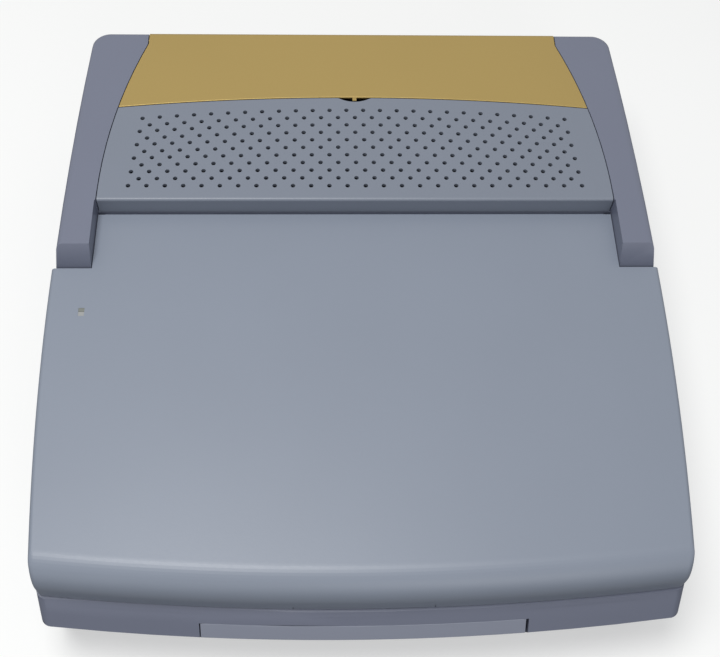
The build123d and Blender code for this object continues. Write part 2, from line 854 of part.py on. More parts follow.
def lid_bezel():
    """Inner cover of the lid, with the screen opening and the opening for the contrast dial."""
    plate = prism(lid_plan(wall + running_gap), bezel_bottom_z, bezel_top_z())
    plate -= bezel_hole()
    latch_room = latch_half_width + 2
    plate -= block(
        -latch_room, latch_room, lid_front_y - 1, latch_hook_y() + latch_depth + latch_travel + 1,
        bezel_bottom_z - 1, bezel_top_z() + 1,
    )
    room = dial_radius + running_gap
    plate -= block(
        dial_x - room, dial_x + room, dial_y - room, dial_y + room, bezel_bottom_z - 1, bezel_top_z() + 1
    )
    bezel_post_x = case_half_width - bezel_post_inset
    for x in (-bezel_post_x, bezel_post_x):
        for y in bezel_post_places_y:
            plate += post(x, y, bezel_top_z(), lid_top_z - wall, bezel_post_radius)
    return plate


def lcd_panel():
    return block(
        -screen_half_width - glass_margin, screen_half_width + glass_margin,
        screen_front_y - glass_margin, screen_rear_y + glass_margin,
        bezel_top_z(), bezel_top_z() + glass_thickness,
    )


def backlight_z():
    return bezel_top_z() + glass_thickness


def lcd_backlight():
    """Light guide behind the glass, with a groove along its front edge for the tube."""
    plate = block(
        -screen_half_width - glass_margin, screen_half_width + glass_margin,
        screen_front_y - glass_margin, screen_rear_y + glass_margin,
        backlight_z(), backlight_z() + backlight_thickness,
    )
    groove = tube_radius + running_gap
    return plate - block(
        -SPAN, SPAN, screen_front_y - glass_margin - 1, screen_front_y - glass_margin + 2 * groove,
        backlight_z() + backlight_thickness / 2 - groove, backlight_z() + backlight_thickness / 2 + groove,
    )


def backlight_tube():
    """Lamp in the groove of the light guide."""
    y = screen_front_y - glass_margin + tube_radius + running_gap
    z = backlight_z() + backlight_thickness / 2
    reach = screen_half_width + glass_margin - 4
    return shaft_along_x(-reach, reach, y, z, tube_radius)


def inverter_board():
    """Lamp supply beside the screen: a narrow board with its transformer."""
    x0 = screen_half_width + glass_margin + 4
    board = block(x0, x0 + 16, -140, -70, bezel_top_z(), bezel_top_z() + board_thickness)
    return board + block(x0 + 3, x0 + 13, -130, -112, bezel_top_z() + board_thickness, bezel_top_z() + 9)


def contrast_dial():
    """Thumb wheel for the screen contrast, its rim in flats for the finger, on a short shaft."""
    top_z = bezel_bottom_z + dial_thickness
    wheel = post(dial_x, dial_y, bezel_bottom_z, top_z, dial_radius, dial_sides)
    return wheel + rod_along_z(dial_x, dial_y, top_z, top_z + dial_shaft_height, motor_shaft_radius)


def lid_bumpers():
    """Rubber studs under the bezel that the closed lid rests on."""
    studs = []
    for y in bumper_places_y:
        edge = bowed_in(case_half_width, lid_side_radius, y - widest_y) - wall - running_gap
        x = edge - bumper_radius - 0.2
        studs += both_sides(post(x, y, seam_z + bumper_clearance, bezel_bottom_z, bumper_radius))
    return studs


# ---------------------------------------------------------------- covers
def printer_cover():
    """Perforated cover over the printer, with the step down to the lid at its front."""
    plate_front = bay_front_y + printer_cover_round
    plan = bay_plan(plate_front, paper_cover_front_y + 1, cover_gap) & paper_edge_disc(cover_front_gap)
    notch_edge = paper_cover_front_y + 1
    notch = make_face([
        ThreePointArc(
            (-finger_notch_half_width, notch_edge),
            (0, paper_cover_front_y - finger_notch_depth),
            (finger_notch_half_width, notch_edge),
        ),
        Line((finger_notch_half_width, notch_edge), (-finger_notch_half_width, notch_edge)),
    ])
    plan -= notch
    corner_radius = hole_radius * sqrt(2 * pi / (hole_sides * sin(2 * pi / hole_sides)))
    plan -= [Pos(x, y) * RegularPolygon(corner_radius, hole_sides) for x, y in cover_holes()]
    cover = prism(plan, printer_top_z - cover_thickness, printer_top_z)
    cover += cover_front_face()
    for piece in cover_pins(printer_cover_hinge_y):
        cover += piece
    return cover


def cover_holes():
    """Centres of the perforations: rows alternate between long and short, and flatten towards the front."""
    places = []
    for row in range(hole_rows):
        count = long_row_holes - row % 2
        pitch = hole_first_pitch + hole_pitch_growth * row
        half = pitch * (count - 1) / 2
        bow = hole_first_row_bow * (1 - row / (hole_rows - 1))
        for place in range(count):
            x = place * pitch - half
            places.append((x, hole_first_row_y - hole_row_pitch * row - bow * (x / half) ** 2))
    return places


def cover_front_face():
    """The rounded front edge and front face of the printer cover, one bent strip."""
    x = bay_half_width - cover_gap
    outer = printer_cover_round
    inner = outer - cover_thickness
    y0 = bay_front_y
    z1 = printer_top_z
    turn = cos(pi / 4)
    edges = [
        ThreePointArc(
            (-x, y0, z1 - outer),
            (-x, y0 + outer * (1 - turn), z1 - outer * (1 - turn)),
            (-x, y0 + outer, z1),
        ),
        Line((-x, y0 + outer, z1), (-x, y0 + outer, z1 - cover_thickness)),
        ThreePointArc(
            (-x, y0 + outer, z1 - cover_thickness),
            (-x, y0 + outer - inner * turn, z1 - outer + inner * turn),
            (-x, y0 + cover_thickness, z1 - outer),
        ),
        Polyline(
            (-x, y0 + cover_thickness, z1 - outer), (-x, y0 + cover_thickness, printer_cover_lip_z),
            (-x, y0, printer_cover_lip_z), (-x, y0, z1 - outer),
        ),
    ]
    return extrude(make_face(edges), 2 * x, dir=(1, 0, 0))


def cover_pins(y):
    """Bosses under a cover's sides with the pins that turn in the cheeks."""
    half = cover_boss_half_width
    x1 = bay_half_width_at(y + half) - cover_gap
    x0 = x1 - 4
    boss = block(x0, x1, y - half, y + half, cover_hinge_z - 2.4, printer_top_z - cover_thickness)
    pin_end = bay_half_width_at(y) + cover_pin_reach - running_gap
    boss += rod_along_x(x0, pin_end, y, cover_hinge_z, cover_pin_radius)
    return both_sides(boss)


def paper_cover():
    """Metallic cover behind the perforated one, its rear edge turned down, with a small tab to lift it by."""
    plan = bay_plan(paper_cover_front_y - 12, rear_y, cover_gap) - paper_edge_disc(0)
    tab = Pos(0, paper_cover_front_y - finger_notch_depth / 4) * Rectangle(
        2 * paper_cover_tab_half_width, finger_notch_depth / 2 + 1
    )
    plan += tab
    cover = prism(plan, printer_top_z - cover_thickness, printer_top_z)
    lip_half = bay_half_width_at(rear_y) - cover_gap
    cover += block(
        -lip_half, lip_half, rear_y - cover_thickness, rear_y, paper_cover_lip_z,
        printer_top_z - cover_thickness,
    )
    top_rear = [
        edge for edge in cover.edges().filter_by(Axis.X)
        if edge.center().Y > rear_y - 0.1 and edge.center().Z > printer_top_z - 0.1
    ]
    cover = fillet(top_rear, cover_thickness - 0.2)
    for piece in cover_pins(paper_cover_hinge_y):
        cover += piece
    return cover


# ---------------------------------------------------------------- keyboard
def row_y(row):
    """Middle of a full key row, counted from the number row."""
    return key_row_back_y - key_pitch * row


def key_cap(x0, x1, y, depth):
    """A keycap with sloped sides, on the square stem that slides in the plate."""
    middle = (x0 + x1) / 2
    cap = extrude(Rectangle(x1 - x0 - key_gap, depth - key_gap), cap_top_z - cap_bottom_z, taper=key_taper)
    cap = Pos(middle, y, cap_bottom_z) * cap
    half = stem_side / 2
    return cap + block(
        middle - half, middle + half, y - half, y + half, cap_bottom_z - stem_length, cap_bottom_z
    )


def key_row(widths, start_units, y, depth=key_pitch):
    """Keys side by side from a place along the row, in key units from its left end."""
    caps = []
    x = (start_units - keyboard_units / 2) * key_pitch
    for width in widths:
        caps.append(key_cap(x, x + width * key_pitch, y, depth))
        x += width * key_pitch
    return caps


def keyboard_well():
    """The opening in the deck that the keys stand in."""
    half = keyboard_units * key_pitch / 2 + well_margin - key_gap / 2
    front = row_y(4) - key_pitch / 2 - well_margin + key_gap / 2
    back = function_row_y + function_key_depth / 2 + well_margin - key_gap / 2
    return block(-half, half, front, back, deck_z - wall - 1, deck_z + 1)


def keyboard_plate():
    """Steel plate under the keys, with a guide slot for each row of stems, and its upturned edges."""
    half = keyboard_units * key_pitch / 2 + 4
    front = row_y(4) - key_pitch / 2 - 4
    back = function_row_y + function_key_depth / 2 + 4
    plate = block(-half, half, front, back, plate_top_z - plate_thickness, plate_top_z)
    for y in (front, back - plate_thickness):
        plate += block(-half, half, y, y + plate_thickness, plate_top_z, deck_z - wall)
    slot_half = stem_side / 2 + running_gap
    slot_x = half - 6
    for y in [function_row_y] + [row_y(row) for row in range(5)]:
        plate -= block(
            -slot_x, slot_x, y - slot_half, y + slot_half,
            plate_top_z - plate_thickness - 1, plate_top_z + 1,
        )
    return plate


def bottom_row_starts():
    left = 0.0
    space = left + sum(left_bottom_row)
    right = space + space_width
    cursor = right + sum(right_bottom_row)
    return left, space, right, cursor


def power_switch_slot():
    return block(118, 130, 6, 12, deck_z - wall - 1, deck_z + 1)


def power_switch():
    """Slide switch behind the keyboard: a knob on a wider plate under the deck."""
    knob = block(118.3, 122.5, 6.3, 11.7, deck_z - wall - running_gap, deck_z + 1.8)
    return knob + block(116, 124.8, 4, 14, deck_z - wall - running_gap - 1.5, deck_z - wall - running_gap)


# ---------------------------------------------------------------- printer mechanism
def printer_chassis():
    """Bent sheet frame: a floor and two side plates with the bores for shafts and rods."""
    x = chassis_half_width
    frame = block(
        -x - chassis_plate, x + chassis_plate, chassis_front_y, chassis_rear_y,
        chassis_floor_z, chassis_floor_z + chassis_plate,
    )
    for x0 in (-x - chassis_plate, x):
        frame += block(
            x0, x0 + chassis_plate, chassis_front_y, chassis_rear_y, chassis_floor_z, chassis_top_z
        )
    # seats for the shafts: a slot from the top edge for the platen, narrower below for the pinch shaft
    frame -= shaft_slot(platen_z, platen_shaft_radius)
    frame -= shaft_slot(pinch_z(), pinch_shaft_radius)
    motor_y, motor_z = feed_motor_place()
    frame -= square_seat(-x - SPAN, -x + 1, motor_y, motor_z, motor_shaft_radius + 1)
    frame -= square_seat(x - 1, x + SPAN, lever_y, lever_z, cover_pin_radius)
    frame -= square_well(
        pulley_x, pulley_y, chassis_floor_z - 1, chassis_floor_z + chassis_plate + 1, motor_shaft_radius + 1
    )
    frame += rod_along_z(
        -pulley_x, pulley_y, chassis_floor_z + chassis_plate, belt_bottom_z + pulley_height + 1,
        motor_shaft_radius,
    )
    return frame


def shaft_slot(z, radius):
    """A slot down from the top edges of both side plates, in whose foot a shaft turns."""
    half = radius + bore_clearance
    return block(-SPAN, SPAN, platen_y - half, platen_y + half, z - half, chassis_top_z + 1)


def pinch_z():
    return platen_z - platen_radius - pinch_radius - running_gap


def platen_shaft():
    """Six-sided shaft that carries the platen and, outside the left plate, its gear."""
    x = chassis_half_width + chassis_plate
    return shaft_along_x(-x - gear_width - 3, x + 4, platen_y, platen_z, platen_shaft_radius, 6)


def platen_roller():
    sleeve = rod_along_x(-platen_half_length, platen_half_length, platen_y, platen_z, platen_radius)
    return sleeve - platen_shaft()


def gear_x():
    """Outer side of the gears, which run outside the left side plate."""
    return -chassis_half_width - chassis_plate - 1 - gear_width


def feed_motor_place():
    """Centre of the feed motor, at the distance at which its pinion meshes with the platen gear."""
    distance = gear_module * (platen_gear_teeth + pinion_teeth) / 2
    angle = radians(feed_motor_angle)
    return platen_y + distance * cos(angle), platen_z + distance * sin(angle)


def platen_gear():
    face = gear_outline(platen_gear_teeth, feed_motor_angle) - RegularPolygon(platen_shaft_radius, 6)
    return along_x(face, gear_x(), gear_x() + gear_width, platen_y, platen_z)


def feed_pinion():
    """Pinion with the motor's shaft, which comes through the left side plate."""
    y, z = feed_motor_place()
    half_tooth = 180 / pinion_teeth
    face = gear_outline(pinion_teeth, feed_motor_angle + 180 + half_tooth)
    wheel = along_x(face, gear_x(), gear_x() + gear_width, y, z)
    return wheel + rod_along_x(
        gear_x() + gear_width, -chassis_half_width + motor_shaft_depth, y, z, motor_shaft_radius
    )


def feed_motor():
    """Step motor on the inner face of the left side plate."""
    y, z = feed_motor_place()
    x = -chassis_half_width
    can = shaft_along_x(x, x + feed_motor_length, y, z, feed_motor_radius)
    return can - square_seat(x - 1, x + motor_shaft_depth + 1, y, z, motor_shaft_radius)


def pinch_rollers():
    """Shaft under the platen with short rubber rollers that press the paper on."""
    reach = chassis_half_width + chassis_plate
    shaft = shaft_along_x(-reach, reach, platen_y, pinch_z(), pinch_shaft_radius)
    for x in pinch_places:
        shaft += rod_along_x(x - pinch_length / 2, x + pinch_length / 2, platen_y, pinch_z(), pinch_radius)
    return shaft


def paper_guide():
    """Sheet that leads the paper from the rear slot down behind the platen."""
    x = chassis_half_width - running_gap
    inner = platen_radius + guide_gap
    outer = inner + guide_thickness
    guide_top_y = chassis_rear_y + guide_reach
    guide_top_z = rear_wall_top_z - 4
    edges = [
        guide_arc(-x, inner),
        guide_arc(-x, outer),
        Line(guide_point(-x, inner, guide_start), guide_point(-x, outer, guide_start)),
        Polyline(
            guide_point(-x, inner, guide_end), (-x, guide_top_y, guide_top_z),
            (-x, guide_top_y + guide_thickness, guide_top_z), guide_point(-x, outer, guide_end),
        ),
    ]
    sheet = extrude(make_face(edges), 2 * x, dir=(1, 0, 0))
    y, z = feed_motor_place()
    room = feed_motor_radius + 1
    motor_end_x = -chassis_half_width + feed_motor_length + 1
    return sheet - block(-SPAN, motor_end_x, y - room, y + room, z - room, z + room)


def guide_point(x, radius, angle):
    """A point at a distance and an angle from the platen's axis."""
    return x, platen_y + radius * cos(radians(angle)), platen_z + radius * sin(radians(angle))


def guide_arc(x, radius):
    middle = (guide_start + guide_end) / 2
    return ThreePointArc(
        guide_point(x, radius, guide_start), guide_point(x, radius, middle), guide_point(x, radius, guide_end)
    )


def carriage_rod():
    """Rod held between the side plates, on which the carriage slides."""
    reach = chassis_half_width
    return shaft_along_x(-reach, reach, rod_y, rod_z, rod_radius, rod_sides)


def print_carriage():
    """Slider with a square channel for the rod, and a clip that reaches down to the belt."""
    x = carriage_half_width
    body = block(-x, x, carriage_front_y, carriage_rear_y, carriage_bottom_z, carriage_top_z)
    body -= square_seat(-x - 1, x + 1, rod_y, rod_z, rod_radius)
    body -= block(
        -x + 8, x - 8, carriage_front_y + 18, carriage_rear_y - 3, carriage_bottom_z - 1, carriage_top_z - 3
    )
    belt_inside_y = pulley_y - belt_half_gap()
    belt_outside_y = belt_inside_y - belt_thickness
    half = belt_clip_half_width
    clip = block(
        -half, half, belt_inside_y + running_gap, belt_inside_y + 3, belt_bottom_z, carriage_bottom_z
    )
    clip += block(
        -half, half, belt_outside_y - 3, belt_outside_y - running_gap, belt_bottom_z, carriage_bottom_z
    )
    return body + clip


def thermal_head():
    """Head at the carriage's rear that presses the ribbon on the platen."""
    x = head_half_width
    tip = platen_y - platen_radius - running_gap
    body = block(-x, x, carriage_rear_y, tip - 2, platen_z - head_height / 2 - 8, platen_z + head_height / 2)
    return body + block(-x, x, tip - 2, tip, platen_z - 3, platen_z + 3)


def ribbon_cassette():
    """Ribbon cartridge on the carriage with its two spools' openings."""
    x = cassette_half_width
    z0 = carriage_top_z
    z1 = z0 + cassette_height
    rear = carriage_rear_y - cassette_setback
    case = block(-x, x, rear - cassette_depth, rear, z0, z1)
    for side in (-1, 1):
        case -= post(side * x / 2, rear - cassette_depth / 2, z0 - 1, z1 + 1, spool_radius)
    return case


def carriage_motor():
    """Step motor under the chassis floor, at the right end of the belt."""
    can = post(
        pulley_x, pulley_y, chassis_floor_z - carriage_motor_height, chassis_floor_z,
        carriage_motor_radius, shaft_sides,
    )
    return can - square_well(
        pulley_x, pulley_y, chassis_floor_z - motor_shaft_depth - 2, chassis_floor_z + 1, motor_shaft_radius
    )


def pulley(x):
    return post(x, pulley_y, belt_bottom_z, belt_bottom_z + pulley_height, pulley_radius, pulley_sides)


def drive_pulley():
    """Pulley on the motor's shaft."""
    return pulley(pulley_x) + rod_along_z(
        pulley_x, pulley_y, chassis_floor_z - motor_shaft_depth - 1, belt_bottom_z, motor_shaft_radius
    )


def end_pulley():
    """Pulley that turns on the stub of the frame."""
    return pulley(-pulley_x) - square_well(
        -pulley_x, pulley_y, belt_bottom_z - 1, belt_bottom_z + pulley_height + 1, motor_shaft_radius
    )


def belt_half_gap():
    """Half the distance between the inner faces of the belt's two runs."""
    return (pulley_radius + belt_clearance) / cos(pi / pulley_sides)


def belt_loop(half_gap):
    loop = Rectangle(2 * pulley_x, 2 * half_gap)
    for x in (-pulley_x, pulley_x):
        loop += Pos(x, 0) * RegularPolygon(half_gap, pulley_sides)
    return loop


def carriage_belt():
    """Belt loop round the two pulleys."""
    loop = belt_loop(belt_half_gap() + belt_thickness) - belt_loop(belt_half_gap())
    return prism(Pos(0, pulley_y) * loop, belt_bottom_z + 0.5, belt_bottom_z + pulley_height - 0.5)


def release_lever():
    """Lever outside the right side plate that lifts the head from the platen."""
    x0 = chassis_half_width + chassis_plate + running_gap
    x1 = x0 + lever_thickness
    arm = block(x0, x1, lever_y - 4, lever_y + 4, lever_z - 5, lever_z + lever_length)
    arm += block(x0, x1 + 5, lever_y - 4, lever_y + 4, lever_z + lever_length, lever_z + lever_length + 2)
    return arm + rod_along_x(chassis_half_width, x1, lever_y, lever_z, cover_pin_radius)


# ---------------------------------------------------------------- boards, drive and small parts
def board_bottom_z():
    return floor_z + standoff_height


def board_top_z():
    return board_bottom_z() + board_thickness


def main_board():
    """Logic board with its larger chips."""
    board = block(
        main_board_inset_x - case_half_width, main_board_right_x, main_board_front_y, main_board_rear_y,
        board_bottom_z(), board_top_z(),
    )
    for x, y, width, depth in main_board_chips:
        board += block(x, x + width, y, y + depth, board_top_z(), board_top_z() + chip_height)
    return board


def power_board():
    """Supply board under the printer, with its transformer and capacitor."""
    top_z = board_top_z()
    board = block(
        power_board_left_x, power_board_right_x, power_board_front_y, power_board_rear_y,
        board_bottom_z(), top_z,
    )
    x0 = power_board_left_x + transformer_inset
    y0 = power_board_front_y + transformer_gap
    board += block(
        x0, x0 + transformer_width, y0, y0 + transformer_width, top_z, top_z + transformer_height
    )
    return board + post(capacitor_x, capacitor_y, top_z, top_z + capacitor_height, capacitor_radius)


def drive_x1():
    return case_half_width - 6.0


def drive_slot_z():
    return floor_z + 3 + drive_height - 5.5


def floppy_drive():
    """Disk drive lying with its slot in the right side, and room for the eject button."""
    z0 = floor_z
    x1 = drive_x1()
    x0 = x1 - drive_depth
    body = block(x0, x1, drive_y - drive_width / 2, drive_y + drive_width / 2, z0, z0 + drive_height + 3)
    slot_z = drive_slot_z()
    body -= block(
        x1 - drive_slot_depth, x1 + 1, drive_y - drive_slot_width / 2, drive_y + drive_slot_width / 2,
        slot_z - drive_slot_height / 2, slot_z + drive_slot_height / 2,
    )
    return body - eject_shape(running_gap, x1 - 7 - eject_travel, x1 + 1)


def eject_shape(gap, x0, x1):
    y = drive_y + drive_width / 2 - 12
    z = drive_slot_z() - 8
    return block(
        x0, x1, y - eject_width / 2 - gap, y + eject_width / 2 + gap,
        z - eject_height / 2 - gap, z + eject_height / 2 + gap,
    )


def eject_button():
    return eject_shape(0.0, drive_x1() - 6, drive_x1() + 3)


def backup_battery():
    """Coin cell on the main board."""
    return post(-130, 10, board_top_z(), board_top_z() + cell_height, cell_radius, pulley_sides)


def buzzer():
    return post(-130, -60, board_top_z(), board_top_z() + buzzer_height, buzzer_radius, pulley_sides)


def power_inlet():
    """Mains inlet in the rear wall: a socket shell with two pins, open to the rear."""
    half_x = inlet_width / 2
    half_z = inlet_height / 2
    y1 = rear_y - 0.5
    y0 = y1 - inlet_depth
    shell = block(inlet_x - half_x, inlet_x + half_x, y0, y1, inlet_z - half_z, inlet_z + half_z)
    shell -= block(
        inlet_x - half_x + 3, inlet_x + half_x - 3, y0 + 3, y1 + 1, inlet_z - half_z + 3, inlet_z + half_z - 3
    )
    for x in (inlet_x - inlet_pin_x, inlet_x + inlet_pin_x):
        shell += block(
            x - inlet_pin_half, x + inlet_pin_half, y0 + wall, y1 - wall,
            inlet_z - inlet_pin_half, inlet_z + inlet_pin_half,
        )
    return shell


# ---------------------------------------------------------------- all pieces
def word_processor():
    """Every piece by name."""
    left, space, right, cursor = bottom_row_starts()
    bottom_y = row_y(4)
    return {
        "bottom_case": bottom_case(),
        "top_case": top_case(),
        "rubber_feet": rubber_feet(),
        "case_screws": case_screws(),
        "carry_handle": carry_handle(),
        "lid_cover": lid_cover(),
        "lid_bezel": lid_bezel(),
        "lid_hinges": lid_hinges(),
        "hinge_brackets": hinge_brackets(),
        "lid_latch": lid_latch(),
        "lid_bumpers": lid_bumpers(),
        "indicator_window": indicator_window(),
        "lcd_panel": lcd_panel(),
        "lcd_backlight": lcd_backlight(),
        "backlight_tube": backlight_tube(),
        "inverter_board": inverter_board(),
        "contrast_dial": contrast_dial(),
        "printer_cover": printer_cover(),
        "paper_cover": paper_cover(),
        "printer_chassis": printer_chassis(),
        "platen_shaft": platen_shaft(),
        "platen_roller": platen_roller(),
        "platen_gear": platen_gear(),
        "feed_pinion": feed_pinion(),
        "feed_motor": feed_motor(),
        "pinch_rollers": pinch_rollers(),
        "paper_guide": paper_guide(),
        "carriage_rod": carriage_rod(),
        "print_carriage": print_carriage(),
        "thermal_head": thermal_head(),
        "ribbon_cassette": ribbon_cassette(),
        "carriage_motor": carriage_motor(),
        "drive_pulley": drive_pulley(),
        "end_pulley": end_pulley(),
        "carriage_belt": carriage_belt(),
        "release_lever": release_lever(),
        "keyboard_plate": keyboard_plate(),
        "function_keys": key_row(function_row, 0, function_row_y, function_key_depth),
        "number_keys": key_row(number_row, 0, row_y(0)),
        "upper_keys": key_row(upper_row, 0, row_y(1)),
        "home_keys": key_row(home_row, 0, row_y(2)),
        "enter_key": key_row([enter_width], sum(home_row), row_y(2)),
        "lower_keys": key_row(lower_row, left_shift_width, row_y(3)),
        "shift_keys": key_row([left_shift_width], 0, row_y(3))
        + key_row([right_shift_width], left_shift_width + sum(lower_row), row_y(3)),
        "bottom_keys": key_row(left_bottom_row, left, bottom_y) + key_row(right_bottom_row, right, bottom_y),
        "space_bar": key_row([space_width], space, bottom_y),
        "cursor_keys": key_row(cursor_row, cursor, bottom_y),
        "power_switch": power_switch(),
        "main_board": main_board(),
        "power_board": power_board(),
        "floppy_drive": floppy_drive(),
        "eject_button": eject_button(),
        "backup_battery": backup_battery(),
        "buzzer": buzzer(),
        "power_inlet": power_inlet(),
    }


os.makedirs("parts", exist_ok=True)
for name, piece in word_processor().items():
    solids = piece if isinstance(piece, list) else [piece]
    solids = [solid for item in solids for solid in item.solids()]
    export_step(Compound(children=solids) if len(solids) > 1 else solids[0], f"parts/{name}.step")
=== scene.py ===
"""Portable electronic word processor, closed: its skins, covers, controls and finishes."""
import json
import math
from functools import partial

import bmesh
import bpy
import numpy as np
from bpy.props import FloatProperty, FloatVectorProperty, IntProperty, PointerProperty
from mathutils import Matrix, Vector

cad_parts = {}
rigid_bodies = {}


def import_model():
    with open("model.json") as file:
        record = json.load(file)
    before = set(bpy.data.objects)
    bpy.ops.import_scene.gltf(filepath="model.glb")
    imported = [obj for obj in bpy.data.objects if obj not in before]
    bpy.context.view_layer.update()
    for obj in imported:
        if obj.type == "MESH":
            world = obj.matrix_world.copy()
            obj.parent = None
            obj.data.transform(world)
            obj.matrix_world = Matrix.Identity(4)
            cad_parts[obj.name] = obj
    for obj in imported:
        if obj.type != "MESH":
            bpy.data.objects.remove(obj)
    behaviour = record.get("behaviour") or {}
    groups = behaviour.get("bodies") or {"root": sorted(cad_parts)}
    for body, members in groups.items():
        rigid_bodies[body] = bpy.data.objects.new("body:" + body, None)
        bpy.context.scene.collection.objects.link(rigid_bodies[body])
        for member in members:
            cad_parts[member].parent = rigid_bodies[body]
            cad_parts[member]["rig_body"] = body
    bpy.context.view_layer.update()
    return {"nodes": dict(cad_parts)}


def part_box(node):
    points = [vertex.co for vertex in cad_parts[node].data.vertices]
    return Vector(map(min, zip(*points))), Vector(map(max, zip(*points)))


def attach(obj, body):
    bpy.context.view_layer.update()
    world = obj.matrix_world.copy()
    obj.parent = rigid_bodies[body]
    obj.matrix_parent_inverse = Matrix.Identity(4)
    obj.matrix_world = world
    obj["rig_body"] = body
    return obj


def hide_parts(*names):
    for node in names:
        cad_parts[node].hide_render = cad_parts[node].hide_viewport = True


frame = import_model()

bl_info = {
    "name": "Portable word processor",
    "version": (1, 0, 0),
    "blender": (4, 5, 0),
    "location": "View3D > Sidebar > Word processor",
    "description": "Builds the case, lid, covers and controls of a portable word processor",
    "category": "Object",
}

MM = 0.001
case_low, case_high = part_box("bottom_case")


def tone(red, green, blue):
    """Linear colour of a display colour given in steps of 0 to 255: the usual display curve undone."""
    shares = [value / 255 for value in (red, green, blue)]
    return tuple(s / 12.92 if s <= 0.04045 else ((s + 0.055) / 1.055) ** 2.4 for s in shares)


# ---------------------------------------------------------------- sizes and colours
def length(name, description, default):
    """A size that is set in the sidebar's settings, with its default in millimetres."""
    return FloatProperty(name=name, description=description, default=default * MM, unit="LENGTH")


def shade(name, description, red, green, blue):
    """A colour of a finish, with its default as a display colour in steps of 0 to 255."""
    return FloatVectorProperty(
        name=name, description=description, subtype="COLOR", size=3, min=0, max=1,
        default=tone(red, green, blue),
    )


